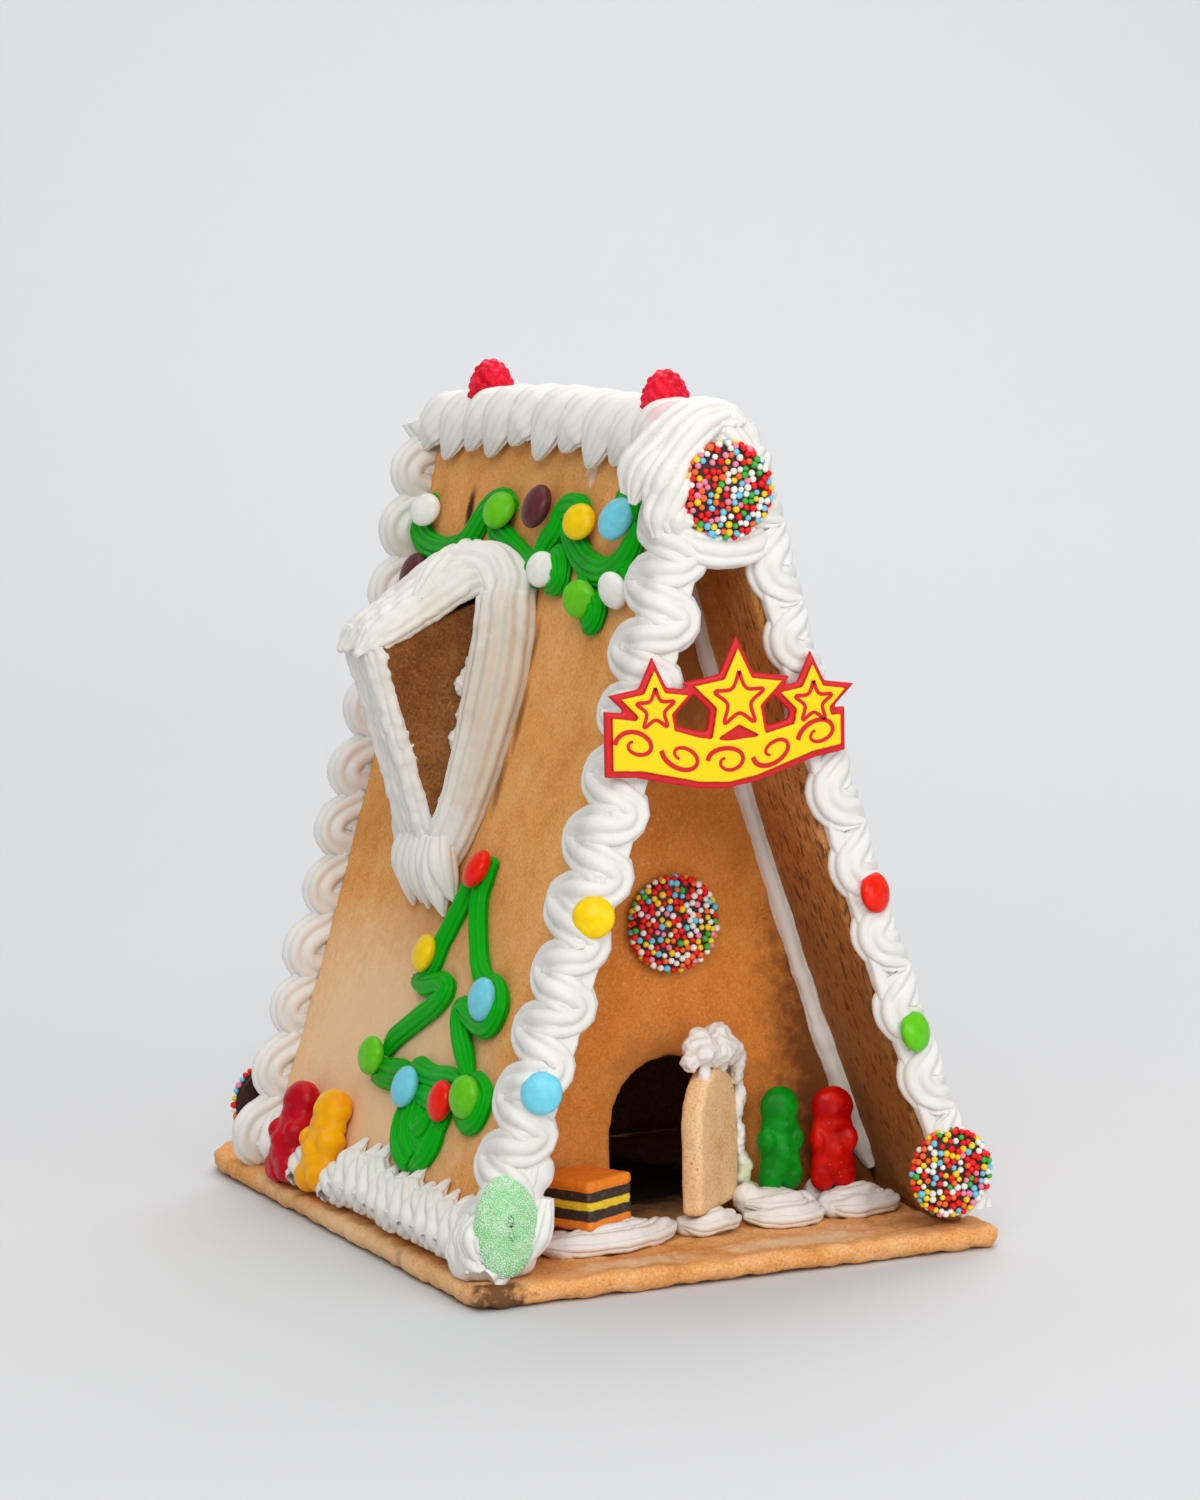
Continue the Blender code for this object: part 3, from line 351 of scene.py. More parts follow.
@dataclass(frozen=True)
class GingerbreadFinish:
    """Baked gingerbread: mottled, pitted and dusted, with spots and, where asked, dark streaks of painted shade."""

    name: str
    pale: Colour = (0.88, 0.49, 0.19)
    base: Colour = (0.77, 0.34, 0.09)
    dark: Colour = (0.56, 0.205, 0.042)
    dust: float = 0.25
    pits: float = 0.5
    # Amount of dark streaks of painted shade near the front of the right panel's inner face.
    painted_shade_streaks: float = 0.0
    spots: tuple[Spot, ...] = ()

    def build(self) -> bpy.types.Material:
        """Makes the material."""
        graph = ShaderGraph(self.name)
        clouds = graph.grain(26, 4) * 0.42 + graph.grain(110, 4) * 0.28 + graph.grain(900, 3) * 0.3
        stops = [(0.3, self.dark), (0.47, self.base), (0.68, self.pale)]
        colour = graph.ramp(clouds, stops)
        colour = graph.mix(graph.grain(1500, 2).above(0.57, 0.06) * 0.4, colour, self.pale)
        colour = graph.mix((1 - graph.grain(1150, 2).above(0.4, 0.06)) * 0.35, colour, self.dark)
        flour = graph.grain(900, 2).above(0.62, 0.12) * graph.grain(60, 3).above(0.45, 0.2)
        colour = graph.mix(flour * self.dust, colour, (0.80, 0.60, 0.38))
        holes = (1 - graph.cells(420).above(0.1, 0.12)) * graph.grain(90, 2).above(0.5, 0.15)
        colour = graph.mix(holes * self.pits, colour, self.dark)
        for spot in self.spots:
            mask = graph.spot(spot.centre, spot.reach, spot.ragged) * spot.strength
            colour = graph.mix(mask, colour, spot.colour)
        # Painted shade: near-black streaks near the front of the right panel's inner face, under its overhang; only
        # finishes that ask for streaks get them.
        overhang_shade_mask = graph.spot((0.06, -0.1, 0.13), (0.09, 0.045, 0.2), 0.5)
        painted_shade_streaks = graph.grain(560, 3, (1, 1, 0.16)).above(0.54, 0.1) * overhang_shade_mask * self.painted_shade_streaks
        colour = graph.mix(painted_shade_streaks, colour, (0.09, 0.032, 0.009))
        graph.set(Base_Color=colour, Roughness=graph.grain(300) * 0.25 + 0.68)
        graph.set(Specular_IOR_Level=0.15)
        relief = graph.grain(420, 5) * 0.55 + graph.grain(1300, 2) * 0.3 - holes * 0.5
        graph.bump(relief - painted_shade_streaks * 0.4, 0.55 * MM, 0.75)
        return graph.material


@dataclass(frozen=True)
class IcingFinish:
    """Royal icing: matt white or glossy green, with a fine drawn texture."""

    name: str
    colour: Colour = (0.79, 0.77, 0.73)
    shade: Colour = (0.72, 0.68, 0.605)
    roughness: float = 0.46
    coat: float = 0.0
    glow: float = 0.0
    specular: float = 0.3
    spots: tuple[Spot, ...] = ()

    def build(self) -> bpy.types.Material:
        """Makes the material."""
        graph = ShaderGraph(self.name)
        colour = graph.mix(graph.grain(45, 3).above(0.5, 0.3), self.colour, self.shade)
        for spot in self.spots:
            mask = graph.spot(spot.centre, spot.reach, spot.ragged) * spot.strength
            colour = graph.mix(mask, colour, spot.colour)
        graph.set(
            Base_Color=colour,
            Roughness=graph.grain(240) * 0.14 + (self.roughness - 0.07),
            Coat_Weight=self.coat,
            Coat_Roughness=0.18,
            Specular_IOR_Level=self.specular,
            Subsurface_Weight=self.glow,
            Subsurface_Radius=(1.0, 0.8, 0.6),
            Subsurface_Scale=2.5 * MM,
        )
        graph.bump(graph.grain(450, 4) * 0.75 + graph.grain(1600, 1) * 0.25, 0.35 * MM, 0.6)
        return graph.material


@dataclass(frozen=True)
class ShellFinish:
    """A polished sugar shell, or glossy moulded sugar paste."""

    name: str
    colour: Colour
    roughness: float = 0.3
    coat: float = 0.12
    mottle: float = 0.12

    def build(self) -> bpy.types.Material:
        """Makes the material."""
        graph = ShaderGraph(self.name)
        pale = tuple(min(1.0, c * (1 + self.mottle) + self.mottle * 0.08) for c in self.colour)
        colour = graph.mix(graph.grain(380, 4).above(0.42, 0.3), self.colour, pale)
        graph.set(
            Base_Color=colour,
            Roughness=graph.grain(500) * 0.14 + (self.roughness - 0.07),
            Coat_Weight=self.coat,
            Coat_Roughness=0.12,
            Specular_IOR_Level=0.13,
        )
        graph.bump(graph.grain(700, 2), 0.08 * MM, 0.35)
        return graph.material


@dataclass(frozen=True)
class JellyFinish:
    """Soft jelly, clear enough to glow, with a few bubbles and sugar specks."""

    name: str
    colour: Colour
    deep: Colour
    roughness: float = 0.36
    specks: float = 0.25

    def build(self) -> bpy.types.Material:
        """Makes the material."""
        graph = ShaderGraph(self.name)
        colour = graph.mix(graph.grain(120, 3).above(0.4, 0.3), self.deep, self.colour)
        speck = 1 - graph.cells(420).above(0.05, 0.05)
        colour = graph.mix(speck * self.specks, colour, tuple(c * 0.4 + 0.6 for c in self.colour))
        graph.set(
            Base_Color=colour,
            Roughness=graph.grain(300) * 0.2 + (self.roughness - 0.1),
            Subsurface_Weight=0.55,
            Subsurface_Radius=tuple(0.15 + c for c in self.colour),
            Subsurface_Scale=3 * MM,
            IOR=1.42,
            Specular_IOR_Level=0.22,
        )
        graph.bump(graph.grain(260, 3) * 0.8 + graph.grain(1200, 1) * 0.2, 0.3 * MM, 0.3)
        return graph.material


@dataclass(frozen=True)
class SugaredFinish:
    """Jelly rolled in sugar, or the clear sugar grains themselves."""

    name: str
    colour: Colour = (0.26, 0.68, 0.27)
    frost: Colour = (0.74, 0.92, 0.72)

    def build(self) -> bpy.types.Material:
        """Makes the material."""
        graph = ShaderGraph(self.name)
        frosting = graph.grain(150, 3).above(0.35, 0.35) * graph.grain(1100, 2).above(0.4, 0.15)
        colour = graph.mix(frosting * 0.75, self.colour, self.frost)
        graph.set(Base_Color=colour, Roughness=0.62, Subsurface_Weight=0.2)
        graph.set(Subsurface_Radius=(0.4, 1.0, 0.4), Subsurface_Scale=2 * MM)
        graph.bump(graph.grain(1300, 2), 0.5 * MM, 0.8)
        return graph.material


@dataclass(frozen=True)
class LiquoriceFinish:
    """Layers of fondant and liquorice, told apart by height."""

    name: str
    low: float
    high: float
    fondant: Colour = (0.86, 0.235, 0.012)
    middle: Colour = (0.84, 0.60, 0.02)
    liquorice: Colour = (0.028, 0.022, 0.018)
    edges: tuple[float, ...] = (0.2, 0.42, 0.58, 0.79)

    def build(self) -> bpy.types.Material:
        """Makes the material."""
        graph = ShaderGraph(self.name)
        height = graph.node("ShaderNodeSeparateXYZ", None, {0: graph.place}, "Z")
        share = (height - self.low) / (self.high - self.low) + (graph.grain(190, 2) - 0.5) * 0.07
        layers = (self.fondant, self.liquorice, self.middle, self.liquorice, self.fondant)
        colour: object = layers[0]
        for edge, layer in zip(self.edges, layers[1:]):
            colour = graph.mix(share.above(edge - 0.012, 0.024), colour, layer)
        crumbs = graph.grain(700, 3).above(0.56, 0.12)
        colour = graph.mix(crumbs * 0.3, colour, (0.30, 0.10, 0.02))
        graph.set(Base_Color=colour, Roughness=graph.grain(300) * 0.3 + 0.4)
        graph.bump(graph.grain(380, 5), 0.7 * MM, 0.6)
        return graph.material


@dataclass(frozen=True)
class StageFinish:
    """Plain pale floor and backdrop."""

    name: str = "pale_backdrop"
    colour: Colour = (0.655, 0.66, 0.67)

    def build(self) -> bpy.types.Material:
        """Makes the material."""
        graph = ShaderGraph(self.name)
        graph.set(Base_Color=self.colour, Roughness=0.9)
        graph.shader.inputs["Specular IOR Level"].default_value = 0.0
        return graph.material


class Palette:
    """Every finish of the house, built once and handed out by name."""

    def __init__(self) -> None:
        """Starts with no material made."""
        self._made: dict[str, bpy.types.Material] = {}

    def of(self, finish: object) -> bpy.types.Material:
        """The material of a finish, made at its first use."""
        if finish.name not in self._made:
            self._made[finish.name] = finish.build()
        return self._made[finish.name]


# Near-black brown: the burnt board corner and the dark mark in the board's chip, and also painted shadow beside the
# dormer's bead on the left roof.
BURNT_AND_PAINTED_SHADOW = (0.10, 0.035, 0.01)
TOASTED = (0.36, 0.14, 0.035)
FLOUR = (0.90, 0.84, 0.74)
WHITE_ICING = IcingFinish(
    "icing_white_set",
    spots=(
        Spot((-0.009, -0.083, 0.285), (0.007, 0.007, 0.007), (0.85, 0.45, 0.47), 0.45),
        Spot((0.0265, -0.068, 0.021), (0.005, 0.008, 0.011), (0.45, 0.56, 0.16), 0.55),
        Spot((0.052, -0.066, 0.018), (0.006, 0.008, 0.006), (0.85, 0.50, 0.45), 0.4),
    ),
)
# A copy of the white icing for the dormer, slightly darker and warmer, with a warm darker patch over the bead:
# painted shade where the bead faces away from the lamps.
DORMER_ICING_PAINTED_SHADE = IcingFinish(
    "icing_white_shaded",
    (0.79, 0.765, 0.715),
    (0.72, 0.675, 0.59),
    spots=(Spot((-0.036, -0.012, 0.17), (0.022, 0.02, 0.075), (0.60, 0.51, 0.385), 0.75, 0.3),),
)
GREEN_ICING = IcingFinish(
    "icing_green_set", (0.0, 0.40, 0.004), (0.0, 0.27, 0.002), 0.38, 0.0, 0.0, 0.12
)
SHELLS = {
    "white": ShellFinish("shell_white_polished", (0.80, 0.805, 0.745)),
    "green": ShellFinish("shell_green_polished", (0.12, 0.53, 0.008)),
    "brown": ShellFinish("shell_brown_polished", (0.105, 0.022, 0.024), 0.34),
    "yellow": ShellFinish("shell_yellow_polished", (0.86, 0.58, 0.0)),
    "blue": ShellFinish("shell_blue_polished", (0.17, 0.60, 0.74)),
    "red": ShellFinish("shell_red_polished", (0.80, 0.012, 0.0)),
}
PEARLS = {
    "red": ("shell_red", ShellFinish("pearl_red", (0.78, 0.012, 0.012), 0.4)),
    "orange": ("plaque_yellow", ShellFinish("pearl_orange", (0.88, 0.14, 0.03), 0.4)),
    "yellow": ("shell_yellow", ShellFinish("pearl_yellow", (0.86, 0.60, 0.02), 0.4)),
    "white": ("shell_white", ShellFinish("pearl_white", (0.80, 0.78, 0.72), 0.4)),
    "blue": ("shell_blue", ShellFinish("pearl_blue", (0.16, 0.55, 0.74), 0.4)),
    "green": ("shell_green", ShellFinish("pearl_green", (0.05, 0.42, 0.05), 0.4)),
    "pink": ("jelly_pink", ShellFinish("pearl_pink", (0.84, 0.24, 0.36), 0.4)),
}
CHOCOLATE = ShellFinish("chocolate_dark", (0.045, 0.017, 0.011), 0.45, 0.1, 0.04)
PLAQUE_RED = ShellFinish("plaque_rim", (0.62, 0.012, 0.018), 0.38, 0.2, 0.03)
PLAQUE_YELLOW = ShellFinish("plaque_raised", (0.93, 0.64, 0.0), 0.36, 0.25, 0.03)
SUGAR_GRAIN = SugaredFinish("sugar_grains", (0.52, 0.86, 0.50), (0.88, 0.96, 0.86))
SUGARED_GREEN = SugaredFinish("sugared_jelly")
JELLIES = {
    "crimson": JellyFinish("jelly_crimson_soft", (0.62, 0.0, 0.015), (0.46, 0.0, 0.008)),
    "amber": JellyFinish("jelly_amber_soft", (1.0, 0.50, 0.0), (0.88, 0.36, 0.0)),
    "green": JellyFinish("jelly_green_soft", (0.0, 0.32, 0.012), (0.0, 0.19, 0.005)),
    "red": JellyFinish("jelly_red_soft", (0.70, 0.008, 0.0), (0.45, 0.0, 0.0)),
    "pink": JellyFinish("jelly_pink_soft", (0.88, 0.012, 0.045), (0.62, 0.0, 0.02), 0.42, 0.4),
}


# ---------------------------------------------------------------- mesh helpers


def new_object(name: str, mesh: bpy.types.Mesh) -> bpy.types.Object:
    """Puts a mesh into the scene as an object at the origin."""
    mesh.name = name
    obj = bpy.data.objects.new(name, mesh)
    bpy.context.scene.collection.objects.link(obj)
    return obj


def settled(obj: bpy.types.Object) -> bpy.types.Mesh:
    """The object's mesh with its modifiers applied, and the object removed."""
    bpy.context.view_layer.update()
    graph = bpy.context.evaluated_depsgraph_get()
    mesh = bpy.data.meshes.new_from_object(obj.evaluated_get(graph))
    bpy.data.objects.remove(obj, do_unlink=True)
    return mesh


def mesh_from(verts: Sequence[Vector], faces: Sequence[Sequence[int]]) -> bpy.types.Mesh:
    """A mesh from corners and faces."""
    mesh = bpy.data.meshes.new("shape")
    mesh.from_pydata([tuple(v) for v in verts], [], faces)
    mesh.update()
    return mesh


def joined(meshes: Sequence[bpy.types.Mesh]) -> bpy.types.Mesh:
    """One mesh that holds all of the given ones."""
    bm = bmesh.new()
    for mesh in meshes:
        bm.from_mesh(mesh)
    result = bpy.data.meshes.new("joined")
    bm.to_mesh(result)
    bm.free()
    return result


def coordinates(mesh: bpy.types.Mesh) -> np.ndarray:
    """The mesh's vertices as rows."""
    rows = np.empty(len(mesh.vertices) * 3, np.float32)
    mesh.vertices.foreach_get("co", rows)
    return rows.reshape(-1, 3).astype(float)


def remeshed(mesh: bpy.types.Mesh, voxel: float, smoothing: int = 3) -> bpy.types.Mesh:
    """The mesh as one even skin.

    Args:
        mesh: Closed shapes, which may overlap.
        voxel: Size of the new faces.
        smoothing: Rounds of smoothing.

    Returns:
        The new mesh.
    """
    obj = new_object("remesh", mesh)
    skin = obj.modifiers.new("skin", "REMESH")
    skin.mode = "VOXEL"
    skin.voxel_size = voxel
    soften = obj.modifiers.new("soften", "SMOOTH")
    soften.factor = 0.5
    soften.iterations = smoothing
    return settled(obj)


def roughened(
    mesh: bpy.types.Mesh, amount: float, scale: float, seed: float = 0.0, inward: bool = True
) -> bpy.types.Mesh:
    """Moves vertices along their normals by noise.

    Args:
        mesh: The mesh to change.
        amount: Largest move.
        scale: Features per metre.
        seed: Offset of the noise.
        inward: Whether every move goes into the body.

    Returns:
        The same mesh.
    """
    shift = 1.0 if inward else 0.0
    offset = Vector((seed, 2 * seed, 3 * seed))
    moves = []
    for vert in mesh.vertices:
        wave = noise.noise(vert.co * scale + offset) + 0.5 * noise.noise(vert.co * scale * 2.7 + offset)
        moves.append(vert.co + vert.normal * amount * 0.5 * (wave - shift))
    for vert, place in zip(mesh.vertices, moves):
        vert.co = place
    return mesh


def node_copy(node: str) -> bpy.types.Mesh:
    """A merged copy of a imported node's mesh."""
    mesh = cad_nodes()[node].data.copy()
    bm = bmesh.new()
    bm.from_mesh(mesh)
    bmesh.ops.remove_doubles(bm, verts=bm.verts, dist=0.01 * MM)
    bm.to_mesh(mesh)
    bm.free()
    return mesh


_NODES: dict[str, bpy.types.Object] = {}


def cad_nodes() -> dict[str, bpy.types.Object]:
    """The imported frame's nodes by name."""
    return _NODES


def ellipsoid(centre: Vector, axes: Matrix, rings: int = 16, around: int = 32) -> bpy.types.Mesh:
    """A smooth ellipsoid.

    Args:
        centre: Its centre.
        axes: Matrix whose columns are its half-axes.
        rings: Faces from pole to pole.
        around: Faces round it.

    Returns:
        The mesh.
    """
    bm = bmesh.new()
    bmesh.ops.create_uvsphere(bm, u_segments=around, v_segments=rings, radius=1)
    bmesh.ops.transform(bm, matrix=Matrix.Translation(centre) @ axes.to_4x4(), verts=bm.verts)
    bmesh.ops.recalc_face_normals(bm, faces=bm.faces)
    mesh = bpy.data.meshes.new("ellipsoid")
    bm.to_mesh(mesh)
    bm.free()
    return mesh


@dataclass(frozen=True)
class Ball:
    """An ellipsoid that is melted together with others, all in millimetres."""

    centre: Colour
    radii: Colour
    turn: float = 0.0


def melted(balls: Iterable[Ball], voxel: float, smoothing: int = 4) -> bpy.types.Mesh:
    """One skin over balls that overlap.

    Args:
        balls: The balls.
        voxel: Size of the new faces.
        smoothing: Rounds of smoothing.

    Returns:
        The mesh, in metres.
    """
    parts = []
    for ball in balls:
        turn = Matrix.Rotation(radians(ball.turn), 3, "Z")
        axes = turn @ Matrix.Diagonal([r * MM for r in ball.radii])
        parts.append(ellipsoid(Vector(ball.centre) * MM, axes, 8, 14))
    return remeshed(joined(parts), voxel, smoothing)


class House:
    """The finished pieces, and what every sub-assembly needs to add to them."""

    def __init__(self, frame: dict) -> None:
        """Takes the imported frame.
        """
        _NODES.update(frame["nodes"])
        self.palette = Palette()
        low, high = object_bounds()
        self.low = np.array(low) + 0.05 * MM
        self.high = np.array(high) - 0.05 * MM
        self.count = 0

    def add(
        self,
        name: str,
        mesh: bpy.types.Mesh,
        finish: object,
        slot: str,
        nodes: Sequence[str] = (),
    ) -> bpy.types.Object:
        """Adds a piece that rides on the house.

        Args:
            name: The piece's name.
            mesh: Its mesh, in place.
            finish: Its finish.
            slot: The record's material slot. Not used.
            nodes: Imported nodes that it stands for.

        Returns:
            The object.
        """
        inside = np.clip(coordinates(mesh), self.low, self.high).astype(np.float32)
        mesh.vertices.foreach_set("co", inside.ravel())
        mesh.polygons.foreach_set("use_smooth", [True] * len(mesh.polygons))
        mesh.materials.clear()
        mesh.materials.append(self.palette.of(finish))
        mesh.polygons.foreach_set("material_index", [0] * len(mesh.polygons))
        mesh.update()
        obj = new_object(name, mesh)
        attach(obj, "root")
        for node in nodes:
            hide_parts(node)
        self.count += 1
        LOG.info("%s: %d faces", name, len(mesh.polygons))
        return obj


# ---------------------------------------------------------------- piping


@dataclass
class Strand:
    """The middle line of one piped stroke."""

    points: list[Vector] = field(default_factory=list)
    facings: list[Vector] = field(default_factory=list)
    swells: list[float] = field(default_factory=list)

    def add(self, point: Vector, facing: Vector, swell: float = 1.0) -> None:
        """Adds a point.

        Args:
            point: Where the middle of the stroke is.
            facing: The way its ridged top faces.
            swell: Factor on the nozzle's size.
        """
        self.points.append(point)
        self.facings.append(facing.normalized())
        self.swells.append(swell)


@dataclass(frozen=True)
class Nozzle:
    """The section that piping leaves."""

    width: float
    height: float
    ridges: int
    depth: float = 0.12
    step: float = 1.3 * MM
    wobble: float = 0.5 * MM
    grain: float = 90.0
    seed: float = 0.0


class PipingTree:
    """A Geometry Nodes tree that pipes a ridged stroke along each line of a mesh."""

    name = "ridged_piping"

    def __init__(self) -> None:
        """Builds the tree."""
        tree = bpy.data.node_groups.new(self.name, "GeometryNodeTree")
        self.tree = tree
        graph = Graph(tree)
        self.inputs: dict[str, str] = {}
        tree.interface.new_socket("Geometry", in_out="INPUT", socket_type="NodeSocketGeometry")
        for label in ("Width", "Height", "Ridges", "Depth", "Step", "Wobble", "Grain", "Seed"):
            made = tree.interface.new_socket(label, in_out="INPUT", socket_type="NodeSocketFloat")
            self.inputs[label] = made.identifier
        made = tree.interface.new_socket("Finish", in_out="INPUT", socket_type="NodeSocketMaterial")
        self.inputs["Finish"] = made.identifier
        tree.interface.new_socket("Geometry", in_out="OUTPUT", socket_type="NodeSocketGeometry")
        source = tree.nodes.new("NodeGroupInput")

        def given(label: str) -> Value:
            """The group input of that name."""
            return Value(graph, source.outputs[label])

        line = graph.node("GeometryNodeMeshToCurve", None, {0: given("Geometry")})
        line = graph.node("GeometryNodeCurveSplineType", {"spline_type": "CATMULL_ROM"}, {0: line})
        line = graph.node(
            "GeometryNodeResampleCurve", {"mode": "LENGTH"}, {"Curve": line, "Length": given("Step")}
        )
        facing = self._attribute(graph, "facing", "FLOAT_VECTOR")
        line = graph.node(
            "GeometryNodeSetCurveNormal", {"mode": "FREE"}, {"Curve": line, "Normal": facing}
        )
        ring = graph.node("GeometryNodeCurvePrimitiveCircle", None, {"Resolution": 60, "Radius": 1.0})
        ring = graph.node(
            "GeometryNodeSetPosition", None, {"Geometry": ring, "Position": self._section(graph, given)}
        )
        swell = self._attribute(graph, "swell", "FLOAT")
        skin = graph.node(
            "GeometryNodeCurveToMesh",
            None,
            {"Curve": line, "Profile Curve": ring, "Scale": swell, "Fill Caps": True},
        )
        place = graph.node("GeometryNodeInputPosition")
        shift = graph.vector("MULTIPLY_ADD", place, (1, 1, 1), given("Seed"))
        clouds = graph.node(
            "ShaderNodeTexNoise", None, {"Vector": shift, "Scale": given("Grain"), "Detail": 3.0}
        )
        normal = graph.node("GeometryNodeInputNormal")
        move = graph.vector("SCALE", normal)
        tree.links.new(((clouds - 0.5) * given("Wobble") * 2.0).socket, move.socket.node.inputs["Scale"])
        skin = graph.node("GeometryNodeSetPosition", None, {"Geometry": skin, "Offset": move})
        skin = graph.node("GeometryNodeSetShadeSmooth", None, {0: skin})
        skin = graph.node("GeometryNodeRealizeInstances", None, {0: skin})
        skin = graph.node(
            "GeometryNodeSetMaterial", None, {"Geometry": skin, "Material": given("Finish")}
        )
        graph.node("NodeGroupOutput", None, {0: skin})

    @staticmethod
    def _attribute(graph: Graph, name: str, kind: str) -> Value:
        """Reads a named attribute of the line."""
        return graph.node("GeometryNodeInputNamedAttribute", {"data_type": kind}, {"Name": name})

    @staticmethod
    def _section(graph: Graph, given: Callable[[str], Value]) -> Value:
        """The nozzle's section: X off the surface and Y across the stroke."""
        place = graph.node("GeometryNodeInputPosition")
        split = graph.node("ShaderNodeSeparateXYZ", None, {0: place})
        off, across = Value(graph, split.socket.node.outputs[0]), Value(graph, split.socket.node.outputs[1])
        angle = graph.node("ShaderNodeMath", {"operation": "ARCTAN2"}, {0: across, 1: off})
        wave = graph.node("ShaderNodeMath", {"operation": "COSINE"}, {0: angle * given("Ridges")})
        wave = graph.node("ShaderNodeMath", {"operation": "ABSOLUTE"}, {0: wave})
        wave = graph.node("ShaderNodeMath", {"operation": "POWER"}, {0: wave, 1: 0.7}) * 2.0 - 1.3
        swell = wave * given("Depth") + 1.0
        half_height = given("Height") * 0.5
        half_width = given("Width") * 0.5
        sockets = {0: off * half_height * swell, 1: across * half_width * (wave * given("Depth") * 0.4 + 1.0)}
        return graph.node("ShaderNodeCombineXYZ", None, sockets)

    def pipe(
        self, strands: Sequence[Strand], nozzle: Nozzle, material: bpy.types.Material
    ) -> bpy.types.Mesh:
        """Pipes the strands.

        Args:
            strands: Middle lines.
            nozzle: The section.
            material: The finish.

        Returns:
            The piped mesh.
        """
        points = [p for strand in strands for p in strand.points]
        edges, start = [], 0
        for strand in strands:
            count = len(strand.points)
            edges += [(start + k, start + k + 1) for k in range(count - 1)]
            start += count
        mesh = bpy.data.meshes.new("lines")
        mesh.from_pydata([tuple(p) for p in points], edges, [])
        facing = mesh.attributes.new("facing", "FLOAT_VECTOR", "POINT")
        facing.data.foreach_set("vector", [c for s in strands for f in s.facings for c in f])
        swell = mesh.attributes.new("swell", "FLOAT", "POINT")
        swell.data.foreach_set("value", [v for s in strands for v in s.swells])
        obj = new_object("lines", mesh)
        modifier = obj.modifiers.new("piping", "NODES")
        modifier.node_group = self.tree
        values = {
            "Width": nozzle.width,
            "Height": nozzle.height,
            "Ridges": float(nozzle.ridges),
            "Depth": nozzle.depth,
            "Step": nozzle.step,
            "Wobble": nozzle.wobble,
            "Grain": nozzle.grain,
            "Seed": nozzle.seed,
            "Finish": material,
        }
        for label, value in values.items():
            modifier[self.inputs[label]] = value
        return settled(obj)


